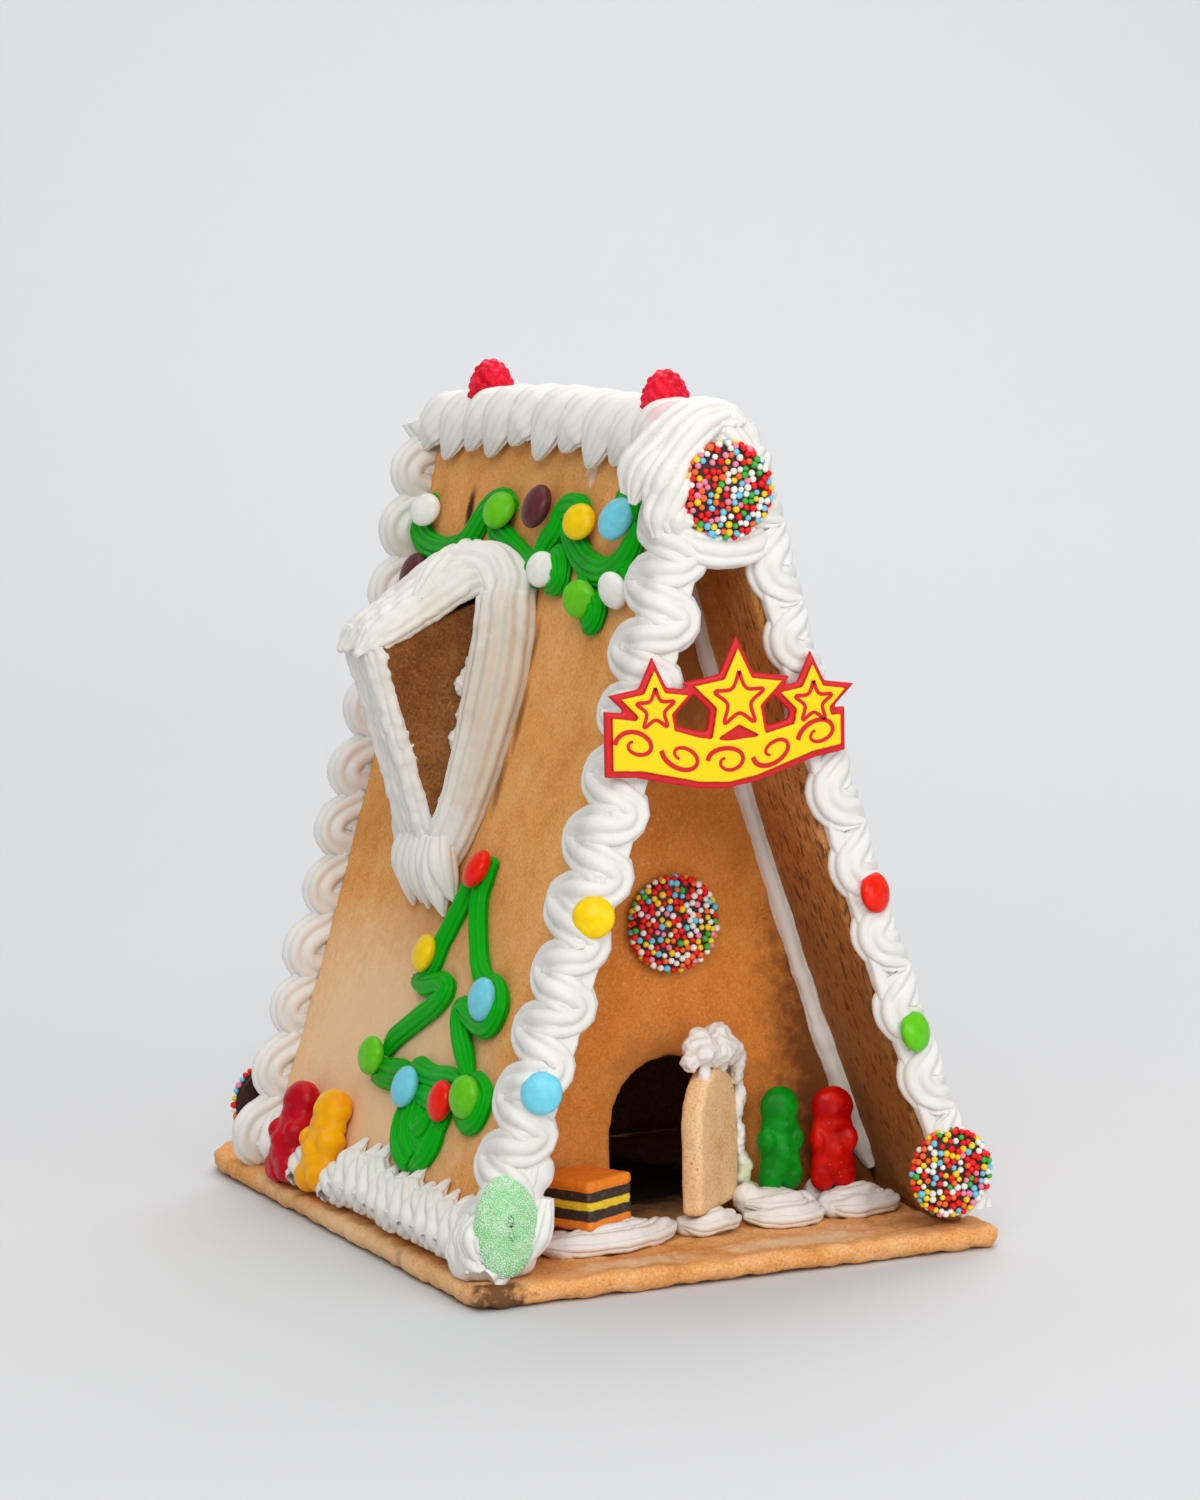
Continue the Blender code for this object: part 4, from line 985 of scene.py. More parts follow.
class ScatterTree:
    """A Geometry Nodes tree that covers a surface with small round or square grains."""

    name = "scattered_grains"

    def __init__(self) -> None:
        """Builds the tree."""
        tree = bpy.data.node_groups.new(self.name, "GeometryNodeTree")
        self.tree = tree
        graph = Graph(tree)
        self.inputs: dict[str, str] = {}
        tree.interface.new_socket("Geometry", in_out="INPUT", socket_type="NodeSocketGeometry")
        for label in ("Radius", "Spacing", "From", "To", "Lift", "Squareness"):
            made = tree.interface.new_socket(label, in_out="INPUT", socket_type="NodeSocketFloat")
            self.inputs[label] = made.identifier
        made = tree.interface.new_socket("Seed", in_out="INPUT", socket_type="NodeSocketInt")
        self.inputs["Seed"] = made.identifier
        made = tree.interface.new_socket("Finish", in_out="INPUT", socket_type="NodeSocketMaterial")
        self.inputs["Finish"] = made.identifier
        tree.interface.new_socket("Geometry", in_out="OUTPUT", socket_type="NodeSocketGeometry")
        source = tree.nodes.new("NodeGroupInput")

        def given(label: str) -> Value:
            """The group input of that name."""
            return Value(graph, source.outputs[label])

        spread = graph.node(
            "GeometryNodeDistributePointsOnFaces",
            {"distribute_method": "POISSON"},
            {
                "Mesh": given("Geometry"),
                "Distance Min": given("Spacing"),
                "Density Max": 5.0e6,
                "Seed": given("Seed"),
            },
        )
        normal = Value(graph, spread.socket.node.outputs["Normal"])
        lift = graph.vector("SCALE", normal)
        tree.links.new((given("Lift") * 1.0).socket, lift.socket.node.inputs["Scale"])
        spread = graph.node("GeometryNodeSetPosition", None, {"Geometry": spread, "Offset": lift})
        draw = self._random(graph, 0.0, 1.0, 5)
        chosen = draw.above(0.0, 1.0)
        low = graph.node("ShaderNodeMath", {"operation": "GREATER_THAN"}, {0: chosen, 1: given("From")})
        high = graph.node("ShaderNodeMath", {"operation": "GREATER_THAN"}, {0: chosen, 1: given("To")})
        keep = low * (1 - high)
        ball = graph.node(
            "GeometryNodeMeshUVSphere", None, {"Segments": 8, "Rings": 5, "Radius": given("Radius")}
        )
        cube = graph.node("GeometryNodeMeshCube")
        size = graph.node(
            "ShaderNodeCombineXYZ", None, {k: given("Radius") * 1.7 for k in range(3)}
        )
        tree.links.new(size.socket, cube.socket.node.inputs["Size"])
        shape = graph.node(
            "GeometryNodeSwitch",
            {"input_type": "GEOMETRY"},
            {"Switch": given("Squareness"), "False": ball, "True": cube},
        )
        turn = graph.node(
            "FunctionNodeRandomValue",
            {"data_type": "FLOAT_VECTOR"},
            {"Min": (0, 0, 0), "Max": (2 * pi, 2 * pi, 2 * pi), "Seed": 3},
        )
        sockets = {
            "Points": spread,
            "Selection": keep,
            "Instance": shape,
            "Rotation": turn,
            "Scale": self._random(graph, 0.85, 1.12, 7),
        }
        grains = graph.node("GeometryNodeInstanceOnPoints", None, sockets)
        grains = graph.node("GeometryNodeRealizeInstances", None, {0: grains})
        grains = graph.node("GeometryNodeSetShadeSmooth", None, {0: grains})
        grains = graph.node(
            "GeometryNodeSetMaterial", None, {"Geometry": grains, "Material": given("Finish")}
        )
        graph.node("NodeGroupOutput", None, {0: grains})

    @staticmethod
    def _random(graph: Graph, low: float, high: float, seed: int) -> Value:
        """A random number for each point."""
        made = graph.tree.nodes.new("FunctionNodeRandomValue")
        made.data_type = "FLOAT"
        made.inputs[2].default_value = low
        made.inputs[3].default_value = high
        made.inputs["Seed"].default_value = seed
        return Value(graph, made.outputs[1])

    def cover(
        self, surface: bpy.types.Mesh, values: dict[str, float], material: bpy.types.Material
    ) -> bpy.types.Mesh:
        """Scatters grains on the surface.

        Args:
            surface: The faces to cover.
            values: The tree's inputs by name.
            material: The finish.

        Returns:
            The grains as a mesh.
        """
        obj = new_object("surface", surface.copy())
        modifier = obj.modifiers.new("grains", "NODES")
        modifier.node_group = self.tree
        defaults = {"From": -1.0, "To": 2.0, "Lift": 0.0, "Squareness": 0.0, "Seed": 1}
        for label, value in {**defaults, **values}.items():
            modifier[self.inputs[label]] = value
        modifier[self.inputs["Finish"]] = material
        return settled(obj)


# ---------------------------------------------------------------- the roof's shape


@dataclass(frozen=True)
class Roof:
    """The bowed roof panels' outer faces, as the frame has them."""

    board: float = 9 * MM
    foot: float = 90.5 * MM
    slope: float = radians(17.45)
    rise: float = 262 * MM
    bow: float = 4.75 * MM
    front: float = -107 * MM
    back_foot: float = 94 * MM
    back_top: float = 109.5 * MM
    thickness: float = 7.5 * MM

    def half(self, z: float) -> float:
        """Half-width of the house at height z."""
        s = (z - self.board) / self.rise
        return self.foot - (z - self.board) * tan(self.slope) - 4 * self.bow * s * (1 - s)

    def back(self, z: float) -> float:
        """Y of the panels' back edge at height z."""
        return self.back_foot + (self.back_top - self.back_foot) * (z - self.board) / self.rise

    def lean(self, z: float) -> float:
        """The panel's angle from the vertical at height z."""
        s = (z - self.board) / self.rise
        return atan(tan(self.slope) + 4 * self.bow * (1 - 2 * s) / self.rise)

    def outward(self, z: float, side: Side) -> Vector:
        """The panel's outward normal at height z."""
        lean = self.lean(z)
        return Vector((side.value * cos(lean), 0, sin(lean)))

    def point(self, y: float, up: float, off: float, side: Side = Side.LEFT) -> Vector:
        """A point at y, up the slope and off the outer face."""
        z = self.board + up * cos(self.slope)
        return Vector((side.value * self.half(z), y, z)) + self.outward(z, side) * off

    def height(self, up: float) -> float:
        """Height of a point up the slope."""
        return self.board + up * cos(self.slope)


ROOF = Roof()
PIPING: dict[str, PipingTree | ScatterTree] = {}


def pipe(
    house: House, strands: Sequence[Strand], nozzle: Nozzle, finish: IcingFinish = WHITE_ICING
) -> bpy.types.Mesh:
    """Pipes strands with the shared tree."""
    tree = PIPING.setdefault("piping", PipingTree())
    return tree.pipe(strands, nozzle, house.palette.of(finish))


def wander(seed: float, t: float) -> float:
    """Smooth noise between about -1 and 1 along a line."""
    return noise.noise(Vector((t, seed * 7.31, 1.7)))


# ---------------------------------------------------------------- gingerbread


@dataclass
class Gingerbread:
    """The board, roof panels, gables, door and dormer cheeks, baked from the frame's solids."""

    voxel: float = 1.7 * MM
    door_shift: Vector = field(default_factory=lambda: Vector((-3.5, 0, 0)) * MM)
    finishes: dict[str, GingerbreadFinish] = field(
        default_factory=lambda: {
            "base_board": GingerbreadFinish(
                "gingerbread_board",
                pale=(0.90, 0.58, 0.30),
                base=(0.78, 0.35, 0.105),
                dark=(0.55, 0.18, 0.035),
                pits=0.8,
                spots=(
                    Spot((-0.088, -0.117, 0.004), (0.012, 0.006, 0.014), BURNT_AND_PAINTED_SHADOW, 0.9, 0.8),
                    Spot((-0.098, -0.053, 0.006), (0.004, 0.004, 0.009), BURNT_AND_PAINTED_SHADOW, 0.8, 0.6),
                    Spot((0.025, -0.106, 0.009), (0.032, 0.008, 0.01), (0.90, 0.70, 0.48), 0.55, 0.8),
                    Spot((-0.035, -0.108, 0.009), (0.026, 0.007, 0.01), (0.90, 0.70, 0.48), 0.5, 0.8),
                    Spot((0.075, -0.1, 0.009), (0.02, 0.01, 0.01), (0.42, 0.15, 0.03), 0.4, 0.8),
                    # Near-black patch on the board inside the house: painted shade of the closed interior.
                    Spot((0.0, 0.01, 0.006), (0.08, 0.072, 0.02), (0.02, 0.008, 0.004), 1.0, 0.1),
                    # Pale band along the board's left side: painted light on the side that faces the lamps.
                    Spot((-0.104, -0.02, 0.004), (0.014, 0.12, 0.014), (0.92, 0.66, 0.38), 0.65),
                ),
            ),
            "roof_left": GingerbreadFinish(
                "gingerbread_roof_left",
                dust=0.4,
                spots=(
                    Spot((-0.0185, 0.066, 0.2455), (0.012, 0.0044, 0.0105), (0.05, 0.015, 0.004), 1.0, 0.15),
                    Spot((-0.013, -0.03, 0.2665), (0.008, 0.005, 0.011), FLOUR, 0.75, 0.7),
                    Spot((-0.06, -0.01, 0.10), (0.03, 0.05, 0.05), TOASTED, 0.25),
                    # Three dark marks along the right side of the dormer's bead: painted shadow that the bead casts
                    # on the roof.
                    Spot((-0.030, -0.0142, 0.208), (0.008, 0.0040, 0.018), BURNT_AND_PAINTED_SHADOW, 0.9, 0.05),
                    Spot((-0.037, -0.0170, 0.186), (0.009, 0.0038, 0.022), BURNT_AND_PAINTED_SHADOW, 0.9, 0.05),
                    Spot((-0.044, -0.0138, 0.163), (0.009, 0.0046, 0.020), BURNT_AND_PAINTED_SHADOW, 0.9, 0.05),
                    Spot((-0.085, 0.03, 0.03), (0.03, 0.06, 0.03), TOASTED, 0.2),
                    Spot((-0.085, 0.03, 0.065), (0.05, 0.12, 0.065), (0.92, 0.68, 0.43), 0.7, 0.2),
                ),
            ),
            # The right panel's inner face: a darker copy of the gingerbread with a dark patch and dark streaks, as
            # painted shade where the face looks down and away from the lamps.
            "roof_right": GingerbreadFinish(
                "gingerbread_roof_right",
                base=(0.62, 0.25, 0.06),
                pits=0.8,
                painted_shade_streaks=0.75,
                spots=(Spot((0.07, -0.06, 0.07), (0.06, 0.1, 0.13), (0.20, 0.065, 0.016), 0.75),),
            ),
            "gable_front": GingerbreadFinish(
                "gingerbread_gable_front",
                pale=(0.75, 0.32, 0.08),
                base=(0.65, 0.215, 0.036),
                dark=(0.47, 0.15, 0.024),
                spots=(
                    Spot((0.002, -0.06, 0.05), (0.032, 0.02, 0.028), TOASTED, 0.6),
                    # Dark patch on the right of the gable: painted shade cast by the right roof panel.
                    Spot((0.068, -0.06, 0.08), (0.034, 0.02, 0.13), (0.14, 0.042, 0.01), 0.9),
                    # Dark patch at the top of the gable, round and above the plaque: painted shade under the ridge.
                    Spot((0.006, -0.06, 0.215), (0.05, 0.02, 0.06), (0.28, 0.10, 0.028), 0.75),
                ),
            ),
            "gable_back": GingerbreadFinish("gingerbread_gable_back", base=(0.52, 0.25, 0.08)),
            "door": GingerbreadFinish(
                "gingerbread_door", pale=(0.90, 0.66, 0.40), base=(0.82, 0.53, 0.27), pits=1.0,
                spots=(Spot((-0.008, -0.09, 0.04), (0.0045, 0.006, 0.035), (0.52, 0.25, 0.08), 0.8),)
            ),
            # The dormer's cheeks are gingerbread darkened to a near-black brown: painted shade of the recess under
            # the dormer's icing.
            "dormer_cheek_front": GingerbreadFinish(
                "gingerbread_cheek",
                pale=(0.36, 0.15, 0.045),
                base=(0.20, 0.066, 0.016),
                dark=(0.09, 0.027, 0.007),
                dust=0.3,
                pits=0.9,
            ),
        }
    )

    def build(self, house: House) -> None:
        """Adds every baked piece.

        Args:
            house: The house.
        """
        self.finishes["dormer_cheek_back"] = self.finishes["dormer_cheek_front"]
        for seed, (node, finish) in enumerate(self.finishes.items()):
            voxel = 1.2 * MM if node in ("door", "dormer_cheek_front") else self.voxel
            mesh = remeshed(node_copy(node), voxel, 2)
            roughened(mesh, 0.6 * MM, 75, seed)
            if node == "base_board":
                roughened(mesh, 1.6 * MM, 150, seed)
            elif node == "door":
                mesh.transform(Matrix.Translation(self.door_shift))
            else:
                self._stand(mesh)
            house.add(f"{node}_baked", mesh, finish, "gingerbread", [node])

    @staticmethod
    def _stand(mesh: bpy.types.Mesh) -> None:
        """Closes the gap between a wall's foot and the board."""
        for vert in mesh.vertices:
            if vert.co.z < 11.5 * MM:
                vert.co.z = 8.6 * MM


# ---------------------------------------------------------------- white icing


def around_corner(z: float, across: float, off: float, side: Side) -> tuple[Vector, Vector]:
    """A place on the icing that wraps a roof panel's front edge.

    Args:
        z: Height.
        across: Distance from the edge: inwards on the front, and negative back along the roof.
        off: Distance off the gingerbread.
        side: Which panel.

    Returns:
        The point and the way the surface faces.
    """
    half, outward = ROOF.half(z), ROOF.outward(z, side)
    ahead = Vector((0, -1, 0))
    edge = Vector((side.value * half, ROOF.front, z))
    bend = (off + 4 * MM) * pi / 4
    if across > bend:
        inward = Vector((-side.value * (across - bend), 0, 0))
        return edge + inward + ahead * off, ahead
    if across < -bend:
        return edge + Vector((0, -across - bend, 0)) + outward * off, outward
    share = (across / bend + 1) * pi / 4
    facing = outward * cos(share) + ahead * sin(share)
    return edge + facing * off, facing


@dataclass
class EdgeIcing:
    """A zigzag piped up one edge of a roof panel, over a low straight core on the front ones."""

    side: Side
    at_front: bool
    phase: float
    pitch: float = 20.5 * MM
    low: float = 12 * MM
    high: float = 268 * MM
    outer: float = -15.5 * MM
    inner: float = 9.0 * MM
    nozzle: Nozzle = Nozzle(16.5 * MM, 11 * MM, 4, 0.18, 1.1 * MM, 0.8 * MM, 130)

    def _place(self, z: float, across: float, off: float) -> tuple[Vector, Vector]:
        """A point of the icing, and the way it faces."""
        if self.at_front:
            return around_corner(z, across, off, self.side)
        x = self.side.value * (ROOF.half(z) - across)
        return Vector((x, ROOF.back(z) + off + 1.2 * MM, z)), Vector((0, 1, 0))

    def zigzag(self) -> Strand:
        """The zigzag's middle line."""
        strand = Strand()
        steps = 20
        count = round((self.high - self.low) / self.pitch * steps)
        middle, reach = (self.outer + self.inner) / 2, (self.inner - self.outer) / 2
        seed = self.phase * 10 + self.side.value
        for k in range(count + 1):
            turn = k / steps
            angle = 2 * pi * (turn + self.phase)
            z = self.low + self.pitch * turn + 0.5 * MM * sin(2 * angle)
            grown = 0.88 + z + 0.14 * wander(seed, turn * 1.3)
            across = middle + reach * grown * cos(angle) + 1.5 * MM * wander(seed + 3, turn)
            z += 1.8 * MM * wander(seed + 5, turn)
            point, facing = self._place(z, across, (3.6 + 0.8 * wander(seed + 7, turn * 2)) * MM)
            strand.add(point, facing, 0.95 + 0.14 * wander(seed + 9, turn * 2))
        return strand

    def core(self) -> Strand:
        """A straight rope under the zigzag, which closes the gaps between its lobes."""
        strand = Strand()
        for k in range(24):
            z = self.low + (self.high - self.low) * k / 23
            point, facing = self._place(z, 0.0, 0.0)
            strand.add(point, facing, 0.7 if k in (0, 23) else 1.0)
        return strand

    def build(self, house: House, node: str, more: Sequence[bpy.types.Mesh] = ()) -> None:
        """Adds the zigzag.

        Args:
            house: The house.
            node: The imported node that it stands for.
            more: Further icing of the same piece.
        """
        meshes = [pipe(house, [self.zigzag()], self.nozzle), *more]
        if self.at_front:
            core = Nozzle(17 * MM, 8 * MM, 4, 0.05, 2 * MM, 1.2 * MM, 140)
            meshes.append(pipe(house, [self.core()], core))
        mesh = joined(meshes)
        house.add(f"{node}_piped", mesh, WHITE_ICING, "icing_white", [node])


@dataclass
class RidgeIcing:
    """Wide shells laid like scales over the ridge, each from a tip on one roof to one on the other."""

    tips: tuple[float, ...] = (114, 93, 71, 52, 31, 9, -12, -33, -53, -72, -90)
    skew: float = 10.0
    crest: tuple[tuple[float, float], ...] = (
        (-125, 285), (-108, 288), (-94, 288), (-80, 287), (-68, 285.5), (-55, 287.5), (-30, 288.2),
        (10, 289), (40, 288), (62, 286.5), (78, 285), (92, 285), (112, 283), (125, 280),
    )  # fmt: skip
    arch: tuple[tuple[float, float, float], ...] = (
        (0.0, 0.0, -4.8),
        (0.25, 6.2, -5.8),
        (0.45, 10.4, -9.2),
        (0.65, 12.6, -13.8),
        (0.83, 13.2, -18.0),
        (1.0, 13.4, -21.5),
    )
    nozzle: Nozzle = Nozzle(25 * MM, 10.5 * MM, 5, 0.14, 1.2 * MM, 0.6 * MM)

    def build(self, house: House, more: Sequence[bpy.types.Mesh] = ()) -> None:
        """Adds the ridge icing.

        Args:
            house: The house.
            more: Further icing of the same piece.
        """
        strands = [self._shell(tip, k) for k, tip in enumerate(self.tips)]
        body = Strand()
        for y in (106, 80, 40, 0, -40, -80, -108):
            body.add(Vector((0, y, self._height(y) - 11)) * MM, Vector((0, 0, 1)))
        meshes = [
            pipe(house, strands, self.nozzle),
            pipe(house, [body], Nozzle(19 * MM, 14 * MM, 2, 0.0)),
            *more,
        ]
        house.add("icing_ridge_piped", joined(meshes), WHITE_ICING, "icing_white", ["icing_ridge"])

    def _height(self, y: float) -> float:
        """Height of the crest at y, in millimetres."""
        places, heights = zip(*self.crest)
        return float(np.interp(y, places, heights))

    def _shell(self, tip: float, order: int) -> Strand:
        """One shell, over the ridge and down to a point on either side."""
        strand = Strand()
        shares, reaches, drops = zip(*self.arch)
        top = self._height(tip - self.skew)
        longer = 1 + (0.07 if order % 2 else -0.1) + 0.1 * wander(3, order * 2.1)
        for k in range(-8, 9):
            q = k / 8
            y = tip - self.skew * (1 + q) + 2.6 * sin(pi * q) + 1.6 * wander(6, order + q)
            x = float(np.interp(abs(q), shares, reaches)) * (1 if q > 0 else -1)
            z = top + float(np.interp(abs(q), shares, drops)) * (longer if abs(q) > 0.5 else 1)
            lean = 1 - abs(q) * 0.75
            facing = Vector((q * 1.7, -0.28, lean))
            swell = (1 - abs(q) ** 2.2) * 0.86 + 0.14
            strand.add(Vector((x, y, z)) * MM, facing, swell)
        return strand


@dataclass
class BaseRuffle:
    """Wavy shells piped side by side along a roof panel's foot."""

    side: Side
    front: float = -88 * MM
    back: float = 96 * MM
    pitch: float = 10.4 * MM
    sweets: tuple[float, ...] = ()
    nozzle: Nozzle = Nozzle(15.5 * MM, 11 * MM, 4, 0.22, 1.1 * MM, 1.0 * MM, 120)

    def build(self, house: House, node: str) -> None:
        """Adds the shells.

        Args:
            house: The house.
            node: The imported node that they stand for.
        """
        strands = []
        count = int((self.back - self.front) / self.pitch)
        for k in range(count):
            y = self.front + self.pitch * k + 2 * MM * wander(self.side.value, k * 0.9)
            top = (24 + 8 * wander(4.0 + self.side.value, k * 1.7)) * MM
            away = min((abs(y - sweet) for sweet in self.sweets), default=1.0)
            if away < 9.5 * MM:
                continue
            if away < 16 * MM:
                top = (13 + 4 * wander(8.0, k * 1.3)) * MM
            strands.append(self._shell(y, top, k))
        mesh = pipe(house, strands, self.nozzle)
        house.add(f"{node}_piped", mesh, WHITE_ICING, "icing_white", [node])

    def _shell(self, y: float, top: float, k: int) -> Strand:
        """One shell, from its spike on the wall down to its fat foot on the board."""
        strand = Strand()
        outward = ROOF.outward(20 * MM, self.side)
        foot = (95.5 + 2.4 * wander(2.0, k * 1.9)) * MM
        lean = (4 + 2.5 * wander(5.0, k * 2.3)) * MM
        rows = (
            (0, 0.8, 0.1),
            (0.13, 1.4, 0.3),
            (0.3, 3.0, 0.66),
            (0.5, 4.4, 0.92),
            (0.7, 5.0, 1.05),
            (0.88, 4.6, 0.95),
            (1, 4.0, 0.5),
        )
        for s, off, swell in rows:
            up = top * (1 - s) + 3 * MM * s
            wave = 3.0 * MM * sin(2 * pi * s)
            point = ROOF.point(y + lean * (0.5 - s) + wave, up, off * MM, self.side)
            if s > 0.6:
                share = (s - 0.6) / 0.4
                reach = abs(point.x) * (1 - share) + (foot - 3.5 * MM) * share
                point.x = self.side.value * reach
            facing = outward + Vector((0, 0.25 * sin(2 * pi * s), -0.2 * s))
            strand.add(point, facing, swell)
        return strand


@dataclass
class DormerIcing:
    """Icing over the dormer: a band on top, a bead that curls over it, a strip outside and a tail.

    Places are in millimetres. The dormer's end is a triangle with these corners in X and Z.
    """

    peak: tuple[float, float] = (-73.6, 205.2)
    upper: tuple[float, float] = (-20.7, 221.8)
    lower: tuple[float, float] = (-50.6, 122.5)
    middle: float = 20.5
    curl: tuple[tuple[float, float, float, float], ...] = (
        (-58, 29, 217, 0.45),
        (-50, 25, 222.5, 0.8),
        (-40, 19, 227, 1.0),
        (-31.5, 11, 227.5, 1.05),
        (-27.5, 3.5, 222, 1.05),
    )
    drop: tuple[tuple[float, float, float, float], ...] = (
        (-1.0, 217, 7.8, 1.05),
        (-3.5, 205, 6.8, 1.1),
        (-5.3, 188, 6.2, 1.12),
        (-5.0, 170, 6.0, 1.0),
        (-3.8, 155, 5.8, 0.92),
        (-1.0, 141, 5.6, 0.84),
        (4.0, 128, 5.4, 0.75),
        (10.0, 119, 4.6, 0.5),
    )
    smears: tuple[tuple[float, float, float], ...] = (
        (-29, 214.5, 5),
        (-32.5, 210, 4.5),
        (-34.5, 204, 4),
        (-37, 199, 4),
        (-39.5, 194, 4.5),
        (-41.5, 189, 5.5),
        (-40.5, 182, 4),
        (-43, 177, 4),
        (-45.5, 170, 4.5),
        (-44.5, 163.5, 4),
        (-47, 156, 4),
        (-50, 148, 4.5),
        (-51.5, 141, 4.5),
    )

    def build(self, house: House) -> None:
        """Adds the dormer's icing.

        Args:
            house: The house.
        """
        bead = Nozzle(20.5 * MM, 15.5 * MM, 6, 0.15, 1.2 * MM, 0.8 * MM, 120)
        smears = [Ball((x, 5.0, z), (r, 3.0, r * 1.15)) for x, z, r in self.smears]
        smears += [Ball((ball.centre[0], 2 * self.middle - 6, ball.centre[2]), ball.radii) for ball in smears]
        meshes = [
            pipe(house, self._band(), Nozzle(17 * MM, 11 * MM, 5, 0.1, 1.1 * MM, 1.5 * MM, 230)),
            pipe(house, [self._bead(1), self._bead(-1)], bead),
            pipe(house, self._strip(), Nozzle(12 * MM, 8 * MM, 3, 0.1, 1.1 * MM, 1.7 * MM, 230)),
            pipe(house, self._tail(), Nozzle(10 * MM, 9 * MM, 3, 0.18, 1.0 * MM, 0.5 * MM)),
            roughened(melted(smears, 0.6 * MM, 1), 2.6 * MM, 330, 2.0, inward=False),
        ]
        house.add("dormer_icing_piped", joined(meshes), DORMER_ICING_PAINTED_SHADE, "icing_white", ["dormer_icing"])

    def _along(self, reach: float, off: float, y: float) -> Vector:
        """A point along the upper edge from the outer corner, and off it."""
        edge = Vector((self.upper[0] - self.peak[0], 0, self.upper[1] - self.peak[1])).normalized()
        normal = Vector((-edge.z, 0, edge.x))
        start = Vector((self.peak[0], y, self.peak[1]))
        return (start + edge * reach + normal * off) * MM

    def _band(self) -> list[Strand]:
        """Three bands along the upper edge."""
        strands = []
        for y, lift in ((12.5, 0.0), (21, 0.8), (29.5, 0.2)):
            strand = Strand()
            rows = (
                (-8, -2.5, 0.12),
                (-4, -0.6, 0.5),
                (0, 0.8, 0.8),
                (6, 2.0, 0.95),
                (16, 4.2, 1.0),
                (27, 7.2, 1.1),
                (38, 9.5, 1.15),
                (48, 8.0, 1.0),
                (56, 4.0, 0.7),
            )
            for reach, off, swell in rows:
                facing = Vector((-0.3, -0.5 if y < 15 else 0.0, 0.95))
                place = self._along(reach, off + lift, y + 1.5 * wander(y, reach / 15))
                strand.add(place, facing, swell)
            strands.append(strand)
        return strands

    def _bead(self, end: int) -> Strand:
        """The bead that curls over the top and runs down the corner of a cheek and the roof."""
        strand = Strand()
        rows = [(Vector((x, y, z)) * MM, swell) for x, y, z, swell in self.curl]
        aims = [(-0.3, 0.0, 0.95), (-0.3, -0.1, 0.95), (-0.25, -0.3, 0.9), (-0.3, -0.6, 0.7), (-0.6, -0.65, 0.4)]
        facings = [Vector(aim) for aim in aims]
        for y, up, off, swell in self.drop:
            point = ROOF.point(y * MM, up * MM, off * MM)
            rows.append((point, swell))
            facings.append(ROOF.outward(point.z, Side.LEFT) * 0.8 + Vector((0, -0.62, 0)))
        for (point, swell), facing in zip(rows, facings):
            if end < 0:
                point = Vector((point.x, 2 * self.middle * MM - point.y, point.z))
                facing = Vector((facing.x, -facing.y, facing.z))
            strand.add(point, facing, swell)
        return strand

    def _strip(self) -> list[Strand]:
        """Three bands down the outer edge."""
        strands = []
        for y in (13, 20.5, 28.5):
            strand = Strand()
            normal = Vector((-0.96, -0.35 if y < 15 else 0.1, -0.27))
            for s in (-0.06, -0.01, 0.06, 0.2, 0.35, 0.5, 0.65, 0.8, 0.92, 1.0):
                x = self.peak[0] + (self.lower[0] - self.peak[0]) * s
                z = self.peak[1] + (self.lower[1] - self.peak[1]) * s
                off = 1.2 + 1.0 * wander(y, s * 7)
                point = Vector((x, y, z)) + Vector((-0.96, 0, -0.27)) * off
                swell = 0.95 + 0.2 * wander(y + 1, s * 9)
                strand.add(point * MM, normal, 0.2 if s < -0.02 else 0.7 if s < 0 else swell)
            strands.append(strand)
        return strands

    def _tail(self) -> list[Strand]:
        """Short strokes that end in spikes below the dormer."""
        strands = []
        rows = ((0.0, 9.0, 0.9), (0.25, 8.5, 1.1), (0.5, 7.2, 1.1), (0.72, 5.0, 0.85), (0.9, 2.8, 0.4))
        for k, (y, low) in enumerate(((-6, 111), (-1, 105), (6, 108), (13, 106), (20, 107), (27, 105.5), (34, 109))):
            strand = Strand()
            start = 14 + (y - 14) * 0.6
            for s, off, swell in (*rows, (1.0, 1.4, 0.12)):
                up = 131 + (low - 131) * s
                point = ROOF.point((start + (y - start) * s) * MM, up * MM, off * MM)
                facing = ROOF.outward(point.z, Side.LEFT) + Vector((0, 0.14 * (k - 3), -0.15))
                strand.add(point, facing, swell)
            strands.append(strand)
        return strands


